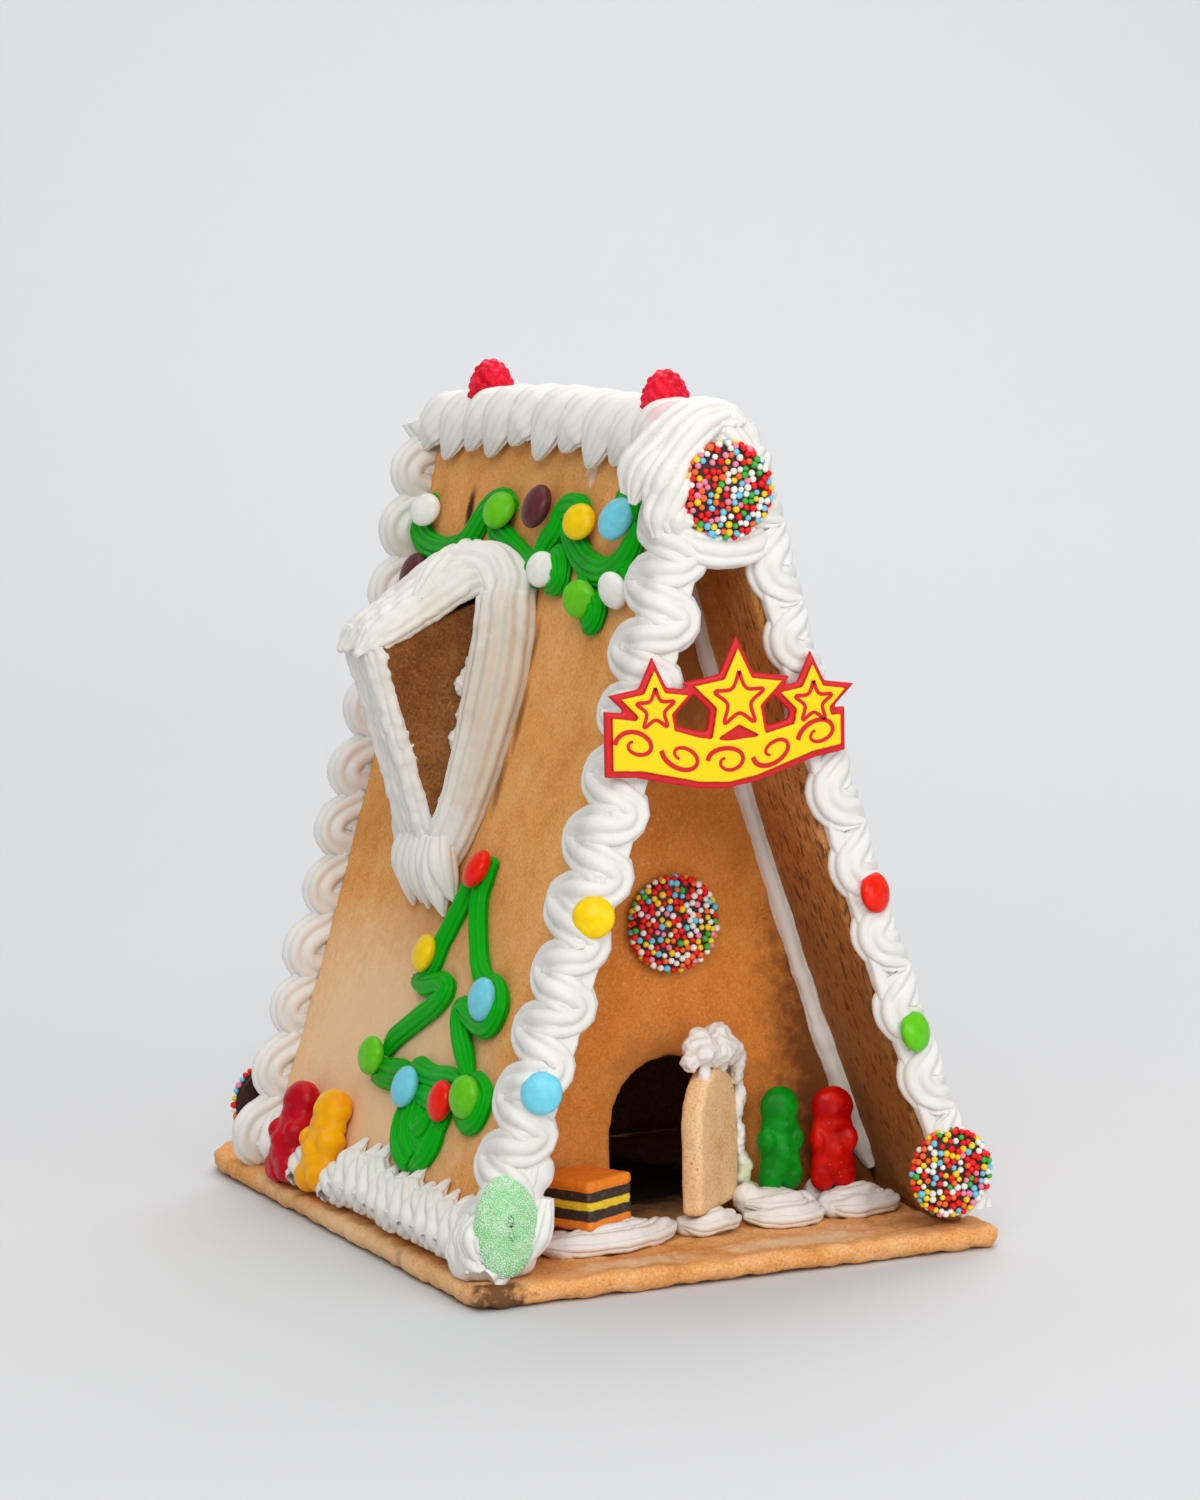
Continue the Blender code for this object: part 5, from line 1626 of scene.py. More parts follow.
@dataclass
class SmallIcing:
    """The seams, the beds on the board and the cap on the door."""

    beds: dict[str, tuple[Ball, ...]] = field(
        default_factory=lambda: {
            "icing_bed_left": (
                Ball((-38, -82, 10.5), (24, 12, 4.4), 8),
                Ball((-50, -86, 10.5), (10, 9, 4.5)),
                Ball((-19, -79, 10.5), (10, 8, 3.8), 15),
            ),
            "icing_bed_door": (
                Ball((0, -79, 10.5), (7, 6.0, 4.2), 20),
                Ball((8, -79, 11), (7, 5.5, 4.6), 20),
            ),
            "icing_bed_mid": (
                Ball((33, -77, 11), (13, 11, 5.5)),
                Ball((33, -75, 14), (11, 8.5, 5.4)),
                Ball((24, -72, 16), (4.5, 6, 6.0)),
                Ball((43, -76, 12.5), (4.5, 6, 4.5)),
            ),
            "icing_bed_right": (
                Ball((62, -77, 10.8), (15, 9.5, 4.6)),
                Ball((58, -76, 13), (9, 6.5, 4.2)),
                Ball((68, -75, 12.5), (8, 6.5, 4.4)),
                Ball((54, -66, 14), (5, 5, 5.5)),
            ),
        }
    )
    cap: tuple[Ball, ...] = (
        Ball((3, -81, 71), (7.0, 6.0, 5.0)),
        Ball((10, -77, 70), (8.0, 7.0, 6.5)),
        Ball((17, -71, 68), (7.0, 6.5, 5.0)),
        Ball((3, -80, 75), (4.0, 3.6, 3.6)),
        Ball((12, -76, 76), (4.2, 4.0, 2.8)),
        Ball((-2, -83, 67), (3.2, 3.0, 3.6)),
        Ball((4, -81, 63.5), (2.4, 2.4, 4.2)),
        Ball((13, -77, 64), (2.2, 2.2, 3.4)),
        Ball((22.5, -67, 62), (3.8, 5.0, 8)),
        Ball((24, -65.5, 50), (2.6, 3.6, 9)),
        Ball((24.8, -64.5, 36), (2.4, 3.0, 9)),
        Ball((26, -64.5, 24), (3.4, 3.2, 8)),
        Ball((28.5, -65, 16), (4.8, 4.2, 5)),
    )

    def build(self, house: House) -> None:
        """Adds each small piece of icing.

        Args:
            house: The house.
        """
        for seed, (node, balls) in enumerate(self.beds.items()):
            mesh = roughened(melted(balls, 0.8 * MM, 3), 2.0 * MM, 150, seed, inward=False)
            strokes = pipe(house, self._strokes(node), Nozzle(8.5 * MM, 6.5 * MM, 3, 0.22, 0.9 * MM, 1.0 * MM, 170))
            house.add(f"{node}_piped", joined([mesh, strokes]), WHITE_ICING, "icing_white", [node])
        cap = roughened(melted(self.cap, 0.6 * MM, 2), 2.6 * MM, 210, 9.0, inward=False)
        house.add("icing_door_cap_piped", cap, WHITE_ICING, "icing_white", ["icing_door_cap"])
        for side in Side:
            node = f"icing_seam_{side.name.lower()}"
            seam = Strand()
            for k in range(30):
                z = (19 + 226 * k / 29) * MM
                x = side.value * (ROOF.half(z) - 9.5 * MM - 1 * MM * wander(side.value, k * 0.8))
                swell = (1.0 + 0.3 * wander(4, k * 0.7)) * (0.4 if k in (0, 29) else 1.0)
                seam.add(Vector((x, -61 * MM, z)), Vector((-side.value * 0.7, -1, 0)), swell)
            mesh = pipe(house, [seam], Nozzle(6.6 * MM, 5.5 * MM, 2, 0.1, 1.5 * MM, 1.0 * MM, 150))
            house.add(f"{node}_piped", mesh, WHITE_ICING, "icing_white", [node])

    @staticmethod
    def _strokes(node: str) -> list[Strand]:
        """Strokes drawn round a bed, in millimetres on the board."""
        paths = {
            "icing_bed_left": [
                ((-61, -87, 12), (-50, -92, 12), (-34, -93, 12), (-20, -88, 12), (-11, -80, 12), (-10, -71, 12)),
                ((-54, -89, 13.5), (-38, -89, 13.5), (-22, -83, 13), (-14, -75, 12)),
            ],
            "icing_bed_door": [
                ((-5, -80, 12), (0, -85, 12), (7, -85, 13), (13, -81, 12.5), (15, -75, 12)),
            ],
            "icing_bed_mid": [
                ((19, -80, 12), (26, -86, 12), (36, -87, 12), (44, -82, 12), (46, -73, 12)),
                ((21, -77, 15.5), (29, -82, 15.5), (38, -81, 15.5), (43, -74, 15.5)),
            ],
            "icing_bed_right": [
                ((50, -79, 12), (57, -84, 12), (67, -82.5, 12), (75, -78, 12), (76, -70, 12)),
                ((51, -76, 14.5), (60, -79.5, 14.5), (68, -78, 14.5), (74, -72, 13)),
            ],
        }
        strands = []
        for path in paths[node]:
            strand = Strand()
            for k, place in enumerate(path):
                end = k in (0, len(path) - 1)
                strand.add(Vector(place) * MM, Vector((0.1, -0.5, 0.9)), 0.3 if end else 1.0)
            strands.append(strand)
        return strands


@dataclass
class CornerIcing:
    """The mass round the oval sweet's foot, and the collar round the top chocolate drop."""

    foot: tuple[Ball, ...] = (
        Ball((-85, -106, 17), (12.5, 7.5, 11)),
        Ball((-79, -108, 31), (12, 6.5, 13)),
        Ball((-91, -101, 14), (7, 9, 7.5)),
        Ball((-77, -105, 13), (8, 7.0, 6)),
        Ball((-72, -108, 42), (9, 5.5, 8)),
    )
    collar: tuple[Ball, ...] = (
        Ball((-2, -110, 260), (17, 4.5, 19)),
        Ball((-13, -109, 256), (12, 5, 14)),
        Ball((0, -109, 244), (15, 5, 7)),
    )
    foot_strokes: tuple[tuple[Colour, ...], ...] = (
        ((-92, -97, 24), (-94, -100, 17), (-95, -103, 11.5)),
        ((-88, -101, 31), (-93, -105, 22), (-94, -108, 12)),
        ((-82, -112, 33), (-93, -111, 24), (-90, -113, 12)),
        ((-68, -112, 34), (-72, -113, 22), (-77, -113, 12)),
    )
    collar_strokes: tuple[tuple[Colour, ...], ...] = (
        ((4, -95, 285), (-8, -100, 283), (-18, -101, 276), (-26, -99, 267), (-29, -97, 259)),
        ((5, -102, 285), (-8, -106, 282), (-18, -107, 274), (-26, -105, 265), (-29, -103, 256)),
        ((3, -108, 284), (-8, -111, 280), (-17, -111, 271), (-23, -110, 261), (-25, -107, 252)),
        ((-12, -112, 272), (-18, -113, 263), (-23, -111, 253), (-24, -110, 245)),
        ((-14, -112, 257), (-18, -113, 250), (-16, -112, 243)),
        ((-2, -104, 284), (2, -108, 278), (7, -110, 269), (11, -109, 259), (15, -108, 249)),
        ((-20, -111, 248), (-11, -113, 242), (0, -113, 240), (10, -112, 242), (17, -110, 247)),
    )

    def foot_mesh(self, house: House) -> bpy.types.Mesh:
        """The mass at the front left corner."""
        return self._mesh(house, self.foot, self.foot_strokes, 10 * MM)

    def collar_mesh(self, house: House) -> bpy.types.Mesh:
        """The collar round the top chocolate drop."""
        return self._mesh(house, self.collar, self.collar_strokes, 11.5 * MM)

    @staticmethod
    def _mesh(
        house: House, balls: Iterable[Ball], rows: Iterable[Sequence[Colour]], width: float
    ) -> bpy.types.Mesh:
        """A mass of icing with strokes over it, which face the front."""
        strands = []
        for row in rows:
            strand = Strand()
            for k, place in enumerate(row):
                facing = Vector((place[0] / 45, -1, 0.25))
                swell = (0.5, 0.95, 1.0, 1.0, 0.9)[k] if k < len(row) - 1 else 0.25
                strand.add(Vector(place) * MM, facing, swell)
            strands.append(strand)
        mass = roughened(melted(balls, 0.9 * MM, 3), 1.6 * MM, 120, 5.0, inward=False)
        nozzle = Nozzle(width, 9 * MM, 3, 0.17, 1.0 * MM, 1.0 * MM, 130)
        return joined([mass, pipe(house, strands, nozzle)])


# ---------------------------------------------------------------- green icing


@dataclass
class GreenIcing:
    """The garland and the tree piped on the left roof. Paths are y and up the slope in millimetres."""

    garland: tuple[tuple[tuple[float, float], ...], ...] = (
        ((95, 249), (102, 243), (103, 237), (93, 232), (78, 230.5), (65, 232), (56.5, 236.5), (51, 242), (45, 248), (33, 251), (24, 250)),
        ((28, 250), (33.5, 245), (31.5, 240), (23, 237), (12, 233.5), (2, 230.5), (-8, 228), (-20, 228)),
        ((-15, 232), (-24, 234), (-28, 227), (-20, 224)),
        ((-8, 228), (-9, 233.5), (-10.5, 239), (-16, 244.5), (-19, 251), (-30, 252), (-38, 251)),
        ((-38, 249), (-28, 246), (-33, 240.5), (-43, 235), (-55, 232.2), (-65, 232.6), (-74, 237), (-79, 243), (-80, 250)),
        ((-62, 254), (-66.5, 257.5), (-73, 254.7), (-74, 248)),
        ((-80, 238.5), (-77, 234), (-70.4, 228.8), (-64, 231)),
        ((-68, 231), (-77, 231), (-81, 227.6)),
        ((-46, 234), (-50, 228), (-52, 222.3), (-62, 219), (-60, 215.3), (-54, 216)),
    )
    tree: tuple[tuple[tuple[float, float], ...], ...] = (
        ((-24.3, 128), (-17.3, 119), (-13.7, 111.5), (-10.2, 104), (-6.6, 96.4), (-4.8, 89), (-1.5, 84), (6, 80.5)),
        ((6.8, 81.5), (-4.5, 81), (-15.9, 83.6), (-21.5, 82), (-17, 76.7), (-7.6, 70.7), (1.6, 65), (9.3, 59.5), (12, 54)),
        ((16, 50), (3.5, 49.8), (-6.7, 50.8), (-17, 50)),
        ((16.7, 45.4), (5.6, 46.6), (-8, 46.5)),
        ((-30.7, 129), (-27.4, 122), (-27, 115), (-30.9, 107), (-36, 100.6), (-41.3, 94.5), (-48, 90), (-57, 89)),
        ((-55, 91), (-60, 88.6), (-66.4, 82.8), (-63, 76), (-52, 75.7), (-39, 78.5), (-38, 75), (-44, 69), (-52, 63.3), (-60, 57.5)),
        ((-60, 57.5), (-66, 57), (-74.5, 53.5), (-74, 46.6), (-67.5, 43.8), (-58, 45)),
        ((-14, 55), (-18.4, 54.2), (-30, 53.3), (-46, 54.8), (-56, 55)),
    )
    trunk: tuple[tuple[tuple[float, float], ...], ...] = (
        ((-20, 46), (-31, 46.5), (-43, 45.5), (-47, 41), (-46, 36)),
        ((-16, 44), (-17.5, 36), (-21, 29), (-28, 25), (-34, 23)),
        ((-23, 44), (-24, 36), (-29, 30), (-36, 26)),
        ((-31, 44), (-31, 37), (-36, 32), (-43, 29.5)),
        ((-45, 42), (-46.5, 35), (-43, 28), (-37, 23)),
        ((-39, 43), (-38, 38), (-33, 35), (-27, 37)),
    )
    garland_nozzle: Nozzle = Nozzle(10.5 * MM, 5.6 * MM, 5, 0.2, 0.9 * MM, 0.3 * MM)
    tree_nozzle: Nozzle = Nozzle(8.2 * MM, 5.4 * MM, 4, 0.2, 0.9 * MM, 0.3 * MM)
    trunk_nozzle: Nozzle = Nozzle(9.0 * MM, 5.8 * MM, 4, 0.18, 0.9 * MM, 0.6 * MM)

    def build(self, house: House) -> None:
        """Adds the green piping.

        Args:
            house: The house.
        """
        for node, paths, nozzle in (
            ("garland", self.garland, self.garland_nozzle),
            ("tree_outline", self.tree, self.tree_nozzle),
            ("tree_trunk", self.trunk, self.trunk_nozzle),
        ):
            strands = [self._strand(path, k) for k, path in enumerate(paths)]
            mesh = pipe(house, strands, nozzle, GREEN_ICING)
            house.add(f"{node}_piped", mesh, GREEN_ICING, "icing_green", [node])

    @staticmethod
    def _strand(path: Sequence[tuple[float, float]], order: int) -> Strand:
        """A stroke laid on the left roof."""
        strand = Strand()
        for k, (y, up) in enumerate(path):
            end = k in (0, len(path) - 1)
            off = (1.6 + 0.25 * (order % 3)) * MM
            point = ROOF.point(y * MM, up * MM, off)
            strand.add(point, ROOF.outward(point.z, Side.LEFT), 0.55 if end else 1.0)
        return strand


# ---------------------------------------------------------------- sweets


def principal(mesh: bpy.types.Mesh) -> tuple[Vector, Matrix]:
    """The middle and the half-axes of a body, longest first.

    Args:
        mesh: A body that is symmetrical about its middle.

    Returns:
        The centre, and a matrix whose columns are the half-axes.
    """
    rows = coordinates(mesh)
    centre = rows.mean(axis=0)
    _, vectors = np.linalg.eigh(np.cov((rows - centre).T))
    axes = []
    for k in (2, 1, 0):
        reach = np.abs((rows - centre) @ vectors[:, k]).max()
        axes.append(vectors[:, k] * reach)
    return Vector(centre), Matrix(axes).transposed()


@dataclass
class Lentils:
    """Sugar-shelled lentils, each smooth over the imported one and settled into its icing."""

    settle: float = 1.95 * MM
    moved: dict[str, Vector] = field(
        default_factory=lambda: {
            "edge_lentil_3_red": Vector((-2.6, 0, 0.6)) * MM,
            "edge_lentil_4_green": Vector((-4.0, 0, 0.6)) * MM,
        }
    )

    def build(self, house: House) -> None:
        """Adds every lentil.

        Args:
            house: The house.
        """
        for node in sorted(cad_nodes()):
            if "_lentil_" not in node:
                continue
            colour = node.rsplit("_", 1)[1]
            centre, axes = principal(node_copy(node))
            centre += self.moved.get(node, Vector())
            if not node.startswith("edge"):
                centre.z -= self.settle
            mesh = roughened(ellipsoid(centre, axes), 0.15 * MM, 160, len(node), inward=True)
            house.add(f"{node}_shell", mesh, SHELLS[colour], f"shell_{colour}", [node])


@dataclass
class Freckles:
    """Chocolate drops under a crust of sugar pearls."""

    pearl: float = 1.15 * MM
    spacing: float = 1.95 * MM
    shares: tuple[float, ...] = (0.25, 0.12, 0.16, 0.19, 0.13, 0.06, 0.09)
    drops: tuple[str, ...] = (
        "freckle_top",
        "freckle_window",
        "freckle_foot_right",
        "freckle_foot_back",
    )

    def build(self, house: House) -> None:
        """Adds the chocolate and the pearls.

        Args:
            house: The house.
        """
        crusts = []
        for seed, node in enumerate(self.drops):
            low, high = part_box(node)
            centre = (Vector(low) + Vector(high)) / 2
            radius = (high.x - low.x) / 2
            ahead = -1.0 if node != "freckle_foot_back" else 1.0
            back = high.y if ahead < 0 else low.y
            depth = high.y - low.y
            drop = self._drop(centre, back, radius, depth, ahead)
            roughened(drop, 0.5 * MM, 150, seed)
            house.add(f"{node}_chocolate", drop, CHOCOLATE, "chocolate", [node])
            crusts.append(self._crust(centre, back, radius, depth, ahead))
        crust = joined(crusts)
        tree = PIPING.setdefault("scatter", ScatterTree())
        reached = 0.0
        for share, (colour, (slot, finish)) in zip(self.shares, PEARLS.items()):
            start, reached = reached, reached + share
            values = {
                "Radius": self.pearl,
                "Spacing": self.spacing,
                "From": start if start else -1.0,
                "To": reached,
                "Lift": -0.15 * MM,
                "Seed": 4,
            }
            mesh = tree.cover(crust, values, house.palette.of(finish))
            house.add(f"sugar_pearls_{colour}", mesh, finish, slot)

    @staticmethod
    def _rings(
        centre: Vector, back: float, ahead: float, profile: Sequence[tuple[float, float]], close: bool
    ) -> bpy.types.Mesh:
        """A turned body from a profile of (radius, distance from the flat back)."""
        around = 40
        verts, faces = [], []
        for radius, depth in profile:
            for k in range(around):
                a = 2 * pi * k / around
                verts.append(
                    Vector((centre.x + radius * cos(a), back + ahead * depth, centre.z + radius * sin(a)))
                )
        for ring in range(len(profile) - 1):
            for k in range(around):
                a, b = ring * around + k, ring * around + (k + 1) % around
                faces.append((a, b, b + around, a + around))
        last = (len(profile) - 1) * around
        faces.append(tuple(last + k for k in range(around)))
        if close:
            faces.append(tuple(range(around))[::-1])
        mesh = mesh_from(verts, faces)
        bm = bmesh.new()
        bm.from_mesh(mesh)
        bmesh.ops.recalc_face_normals(bm, faces=bm.faces)
        if not close and ahead * sum(f.normal.y for f in bm.faces) < 0:
            bmesh.ops.reverse_faces(bm, faces=bm.faces)
        bm.to_mesh(mesh)
        bm.free()
        return mesh

    def _drop(
        self, centre: Vector, back: float, radius: float, depth: float, ahead: float
    ) -> bpy.types.Mesh:
        """The chocolate, with a rounded rim and a low dome."""
        shares = ((0.90, 0.0), (0.985, 0.08), (1.0, 0.3), (0.98, 0.5), (0.92, 0.66), (0.8, 0.75), (0.4, 0.82))
        profile = [(radius * r - 0.8 * MM, depth * d) for r, d in shares]
        return self._rings(centre, back, ahead, profile, close=True)

    def _crust(
        self, centre: Vector, back: float, radius: float, depth: float, ahead: float
    ) -> bpy.types.Mesh:
        """The skin on which the pearls lie."""
        shares = ((0.985, 0.2), (1.0, 0.4), (0.97, 0.58), (0.88, 0.70), (0.7, 0.78), (0.35, 0.82))
        profile = [(radius * r - 0.3 * MM, depth * d + 0.2 * MM) for r, d in shares]
        return self._rings(centre, back, ahead, profile, close=False)


@dataclass
class JellyFigures:
    """Four small jelly figures with round heads, folded arms and short legs."""

    height: float = 36.0
    parts: tuple[Ball, ...] = (
        Ball((-3.8, 0, 5.0), (4.6, 4.0, 5.8)),
        Ball((3.8, 0, 5.0), (4.6, 4.0, 5.8)),
        Ball((0, 0, 9.5), (8.0, 4.2, 7.0)),
        Ball((0, 0, 16.0), (8.6, 4.2, 8.0)),
        Ball((0, -1.6, 13.5), (4.6, 3.6, 4.6)),
        Ball((-5.8, -0.8, 17.5), (2.9, 3.9, 4.6), 12),
        Ball((5.8, -0.8, 17.5), (2.9, 3.9, 4.6), -12),
        Ball((0, 0, 22.5), (7.4, 4.0, 5.2)),
        Ball((0, 0, 28.6), (7.6, 4.2, 7.4)),
        Ball((0, -1.2, 27.6), (3.6, 3.6, 3.4)),
    )

    def build(self, house: House) -> None:
        """Adds the figures.

        Args:
            house: The house.
        """
        for colour in ("crimson", "amber", "green", "red"):
            node = f"jelly_figure_{colour}"
            centre, axes = principal(node_copy(node))
            mesh = roughened(melted(self.parts, 0.7 * MM, 4), 0.5 * MM, 160, len(colour), inward=False)
            if abs(centre.x) > 70 * MM:
                mesh.transform(Matrix.Diagonal((1.28, 1.5, 1.02, 1.0)))
                centre += Vector((-0.8, 0, -2.6)) * MM
            mesh.transform(self._placing(centre, axes))
            house.add(f"{node}_moulded", mesh, JELLIES[colour], f"jelly_{colour}", [node])

    def _placing(self, centre: Vector, axes: Matrix) -> Matrix:
        """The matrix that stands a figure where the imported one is."""
        up, across = axes.col[0].normalized(), axes.col[1].normalized()
        if up.z < 0:
            up = -up
        if across.x < 0 or abs(across.x) < 0.3 and across.y > 0:
            across = -across
        ahead = up.cross(across)
        turn = Matrix((across, ahead, up)).transposed().to_4x4()
        return Matrix.Translation(centre) @ turn @ Matrix.Translation((0, 0, -0.5 * self.height * MM))


@dataclass
class Raspberries:
    """Two domed jelly sweets of many drupelets on the ridge."""

    bumps: int = 46
    bump: float = 1.9

    def build(self, house: House) -> None:
        """Adds both sweets.

        Args:
            house: The house.
        """
        for node in ("raspberry_sweet_front", "raspberry_sweet_back"):
            low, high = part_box(node)
            middle = (Vector(low) + Vector(high)) / 2 / MM
            base = low.z / MM
            width, tall = (high.x - low.x) / 2 / MM, (high.z - low.z) / MM
            balls = [Ball((middle.x, middle.y, base + 1), (width - 1.5, width - 1.5, tall - 2.2))]
            for k in range(self.bumps):
                share = (k + 0.5) / self.bumps
                around = k * pi * (3 - sqrt(5))
                level = sqrt(1 - (1 - share) ** 2)
                x = middle.x + (width - self.bump) * cos(around) * level
                y = middle.y + (width - self.bump) * sin(around) * level
                z = base + (tall - self.bump) * (1 - share)
                balls.append(Ball((x, y, z), (self.bump, self.bump, self.bump)))
            mesh = melted(balls, 0.5 * MM, 2)
            house.add(f"{node}_moulded", mesh, JELLIES["pink"], "jelly_pink", [node])


class OtherSweets:
    """The layered liquorice cube, the sugared oval and the plaque."""

    def build(self, house: House) -> None:
        """Adds the three.

        Args:
            house: The house.
        """
        self._cube(house)
        self._oval(house)
        for node, finish, slot, voxel in (
            ("plaque_backing", PLAQUE_RED, "plaque_red", 0.5 * MM),
            ("plaque_relief", PLAQUE_YELLOW, "plaque_yellow", 0.4 * MM),
        ):
            mesh = remeshed(node_copy(node), voxel, 3)
            house.add(f"{node}_moulded", mesh, finish, slot, [node])
        lines = pipe(house, self._scrolls(), Nozzle(1.7 * MM, 1.5 * MM, 1, 0.0, 0.6 * MM, 0.1 * MM))
        house.add("plaque_scrolls", lines, PLAQUE_RED, "plaque_red")

    @staticmethod
    def _scrolls() -> list[Strand]:
        """A vine of curls along the plaque's ribbon, and a line round each star's middle."""
        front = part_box("plaque_relief")[0].y
        strands = []
        for k in range(5):
            strand = Strand()
            middle = -37.0 + 16.4 * k
            for step in range(22):
                turn = step / 21 * 2.3 * pi
                radius = 5.6 * (1 - step / 21 * 0.72)
                up = 1 if k % 2 else -1
                x = middle + 1.35 * radius * cos(turn + pi)
                z = OtherSweets.ribbon(x) + up * radius * 0.92 * sin(turn + pi)
                strand.add(Vector((x * MM, front, z * MM)), Vector((0, -1, 0)), 1.0 - 0.4 * step / 21)
            strands.append(strand)
        for x, z, reach in ((-30, 191, 12.5), (0, 192.5, 16.5), (27, 190, 12.5)):
            strand = Strand()
            for step in range(11):
                angle = pi / 2 + step * pi / 5
                radius = reach * (0.56 if step % 2 == 0 else 0.27)
                point = Vector((x + radius * cos(angle), 0, z + radius * sin(angle))) * MM
                strand.add(Vector((point.x, front, point.z)), Vector((0, -1, 0)), 0.75)
            strands.append(strand)
        return strands

    @staticmethod
    def ribbon(x: float) -> float:
        """Height of the ribbon's middle at x, in millimetres."""
        return 176.5 + 4 * cos(2 * pi * (x + 45) / 82)

    @staticmethod
    def _cube(house: House) -> None:
        """Stacks the cube's slabs, each a little askew."""
        low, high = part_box("liquorice_cube")
        finish = LiquoriceFinish("liquorice_layers", low.z, high.z)
        mesh = remeshed(node_copy("liquorice_cube"), 0.8 * MM, 2)
        middle = (Vector(low) + Vector(high)) / 2
        mesh.transform(Matrix.Translation(middle) @ Matrix.Scale(1.06, 4) @ Matrix.Translation(-middle))
        for vert in mesh.vertices:
            share = (vert.co.z - low.z) / (high.z - low.z)
            groove = sum(exp(-(((share - edge) / 0.025) ** 2)) for edge in finish.edges)
            pull = 1 - 0.035 * groove - 0.012 * noise.noise(Vector((share * 9, 0, 4)))
            vert.co.x = middle.x + (vert.co.x - middle.x) * pull
            vert.co.y = middle.y + (vert.co.y - middle.y) * pull
        roughened(mesh, 0.5 * MM, 180, 2.0)
        house.add("liquorice_cube_layers", mesh, finish, "liquorice", ["liquorice_cube"])

    @staticmethod
    def _oval(house: House) -> None:
        """A leaf-ribbed jelly under its coat of sugar."""
        centre, axes = principal(node_copy("sugar_oval"))
        mesh = ellipsoid(centre, axes, 40, 64)
        long_way, wide_way = axes.col[0].normalized(), axes.col[1].normalized()
        for vert in mesh.vertices:
            offset = vert.co - centre
            rib = cos((offset.dot(long_way) - abs(offset.dot(wide_way)) * 0.9) * 2 * pi / (5.2 * MM))
            vein = exp(-((offset.dot(wide_way) / (1.3 * MM)) ** 2))
            vert.co -= vert.normal * (0.22 * MM * (1 - rib) + 0.35 * MM * vein)
        mesh.update()
        tree = PIPING.setdefault("scatter", ScatterTree())
        values = {"Radius": 0.3 * MM, "Spacing": 0.62 * MM, "Lift": 0.0, "Squareness": 1.0, "Seed": 2}
        grains = tree.cover(mesh, values, house.palette.of(SUGAR_GRAIN))
        house.add("sugar_oval_jelly", mesh, SUGARED_GREEN, "sugared_green", ["sugar_oval"])
        house.add("sugar_oval_grains", grains, SUGAR_GRAIN, "sugared_green")


# ---------------------------------------------------------------- studio


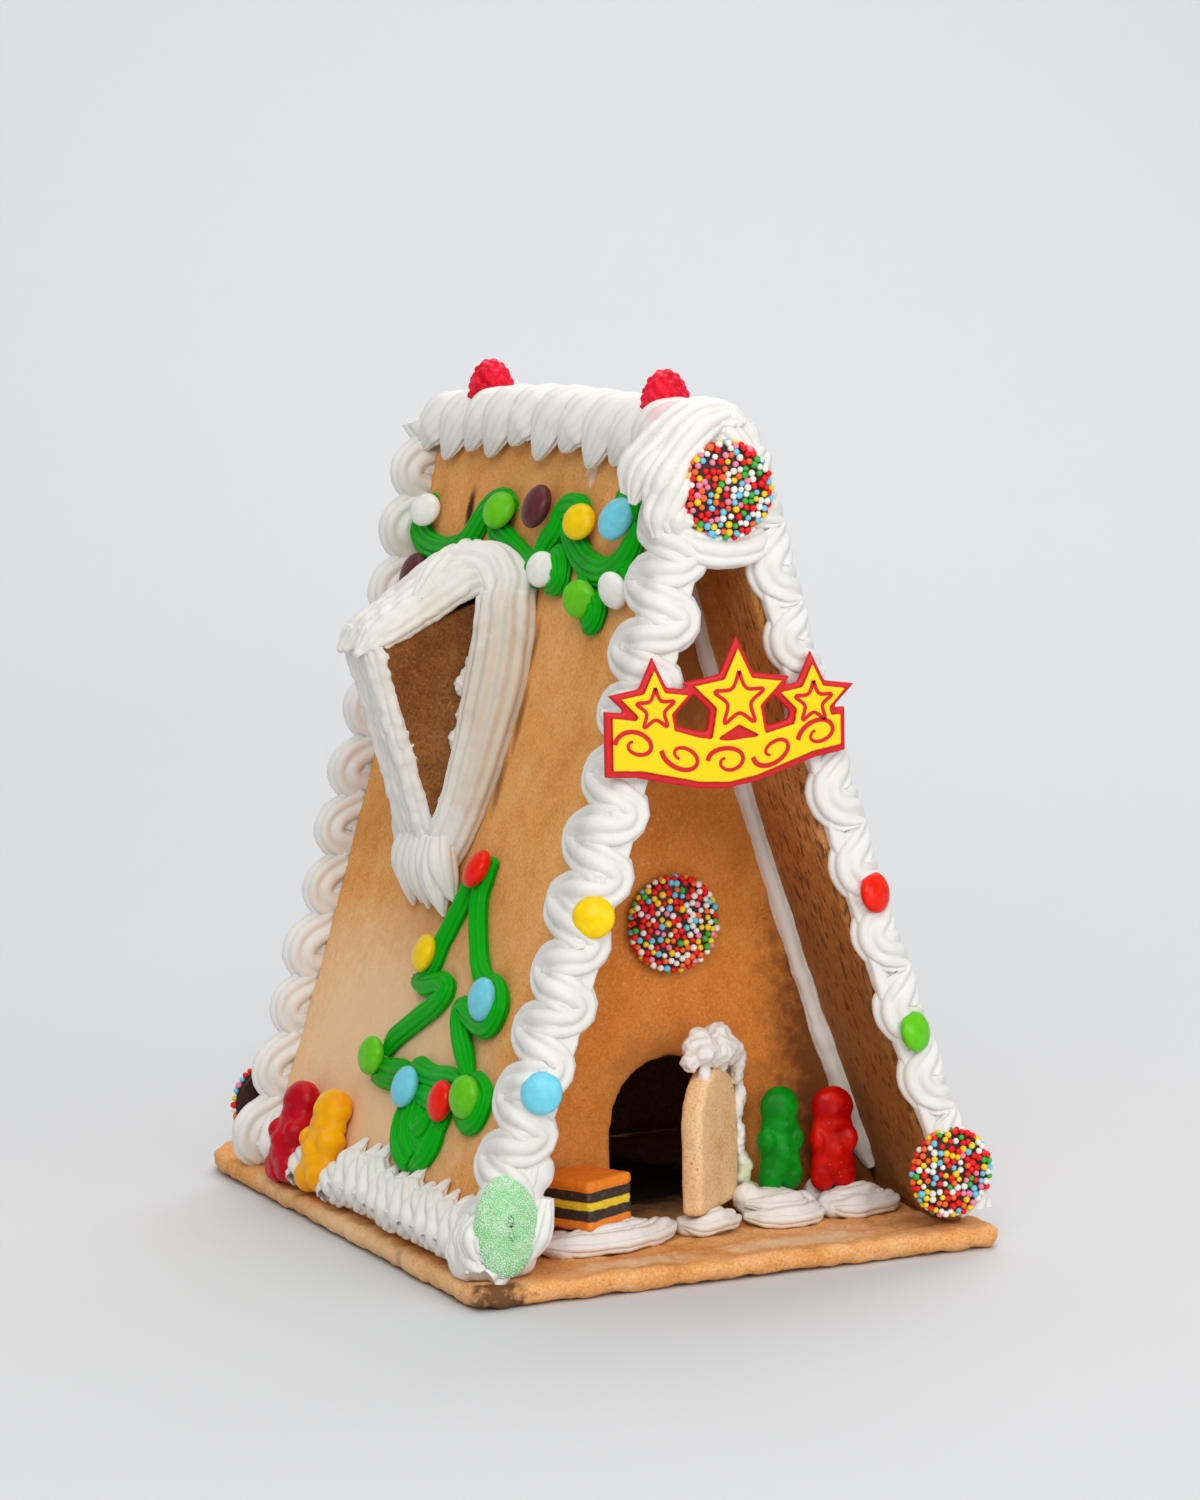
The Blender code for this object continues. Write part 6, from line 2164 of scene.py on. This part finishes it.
@dataclass
class Studio:
    """Floor, lights and camera."""

    camera_at: Vector = field(default_factory=lambda: Vector((-0.64865, -1.436, 0.35293)))
    azimuth: float = radians(-24.47)
    pitch: float = radians(6.85)
    roll: float = radians(-1.02)
    lens: float = 109.41

    def build(self, house: House) -> None:
        """Sets up the studio.

        Args:
            house: Gives the palette.
        """
        self._floor(house)
        self._camera()
        bpy.context.scene.view_settings.view_transform = "Standard"
        world = bpy.data.worlds.new("studio")
        bpy.context.scene.world = world
        world.use_nodes = True
        world.node_tree.nodes["Background"].inputs[0].default_value = (0.95, 0.97, 1.0, 1)
        world.node_tree.nodes["Background"].inputs[1].default_value = 0.34
        self._light("key", (-0.95, -1.75, 1.5), 1.3, 28, (1.0, 0.985, 0.96))
        self._light("fill", (0.7, -2.2, 0.8), 1.4, 18, (0.98, 0.985, 1.0))
        self._light("top", (0.0, 0.2, 2.1), 1.5, 12, (1.0, 1.0, 1.0))
        self._light("backdrop", (1.5, 1.6, 2.4), 2.2, 43, (1.0, 1.0, 1.0), Vector((1.3, 2.3, 0.0)))

    def _floor(self, house: House) -> None:
        """A floor that curves up into a backdrop."""
        profile = [(-3.5, 0.0), (1.6, 0.0)]
        profile += [(1.6 + sin(a) * 0.9, 0.9 - cos(a) * 0.9) for a in np.linspace(0.15, pi / 2, 10)]
        profile += [(2.5, 4.0)]
        verts = [Vector((x, y, z)) for y, z in profile for x in (-5.0, 5.0)]
        faces = [(2 * k, 2 * k + 1, 2 * k + 3, 2 * k + 2) for k in range(len(profile) - 1)]
        mesh = mesh_from(verts, faces)
        mesh.materials.append(house.palette.of(StageFinish()))
        mesh.polygons.foreach_set("use_smooth", [True] * len(mesh.polygons))
        new_object("studio_floor", mesh)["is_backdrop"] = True

    def _camera(self) -> None:
        """The camera in front of the left corner."""
        back = Vector(
            (
                sin(self.azimuth) * cos(self.pitch),
                -cos(self.azimuth) * cos(self.pitch),
                sin(self.pitch),
            )
        )
        level = Vector((0, 0, 1)).cross(back).normalized()
        upright = back.cross(level)
        right = level * cos(self.roll) + upright * sin(self.roll)
        up = upright * cos(self.roll) - level * sin(self.roll)
        data = bpy.data.cameras.new("camera")
        data.sensor_fit = "VERTICAL"
        data.sensor_height = 36
        data.lens = self.lens
        data.clip_start = 0.05
        camera = bpy.data.objects.new("camera", data)
        bpy.context.scene.collection.objects.link(camera)
        turn = Matrix((right, up, back)).transposed().to_4x4()
        camera.matrix_world = Matrix.Translation(self.camera_at) @ turn
        bpy.context.scene.camera = camera

    @staticmethod
    def _light(
        name: str,
        place: Colour,
        size: float,
        power: float,
        colour: Colour,
        aim_at: Vector = Vector((0, 0, 0.13)),
    ) -> None:
        """A square soft light aimed at a point, which is the house if none is given."""
        data = bpy.data.lights.new(name, "AREA")
        data.size = size
        data.energy = power
        data.color = colour
        light = bpy.data.objects.new(name, data)
        bpy.context.scene.collection.objects.link(light)
        aim = aim_at - Vector(place)
        light.matrix_world = Matrix.Translation(place) @ aim.to_track_quat("-Z", "Y").to_matrix().to_4x4()


# ---------------------------------------------------------------- assembly


def main() -> None:
    """Builds the house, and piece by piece."""
    logging.basicConfig(level=logging.INFO, format="%(name)s: %(message)s")
    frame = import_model()
    house = House(frame)
    Gingerbread().build(house)
    corner = CornerIcing()
    edge = EdgeIcing(Side.LEFT, True, 0.93)
    edge.build(house, "icing_front_left", [corner.foot_mesh(house)])
    edge = EdgeIcing(Side.RIGHT, True, 0.1, 25 * MM, outer=-5 * MM, inner=7.5 * MM)
    edge.build(house, "icing_front_right")
    for side, phase in ((Side.LEFT, 0.1), (Side.RIGHT, 0.6)):
        edge = EdgeIcing(side, False, phase, pitch=21.5 * MM, outer=-5.0 * MM, inner=6 * MM, high=277 * MM)
        edge.build(house, f"icing_back_{side.name.lower()}")
    RidgeIcing().build(house, [corner.collar_mesh(house)])
    BaseRuffle(Side.LEFT, sweets=(32 * MM, 61 * MM)).build(house, "icing_base_left")
    BaseRuffle(Side.RIGHT).build(house, "icing_base_right")
    DormerIcing().build(house)
    SmallIcing().build(house)
    GreenIcing().build(house)
    Lentils().build(house)
    Freckles().build(house)
    JellyFigures().build(house)
    Raspberries().build(house)
    OtherSweets().build(house)
    Studio().build(house)
    LOG.info("%d pieces", house.count)


if __name__ == "__main__":
    main()
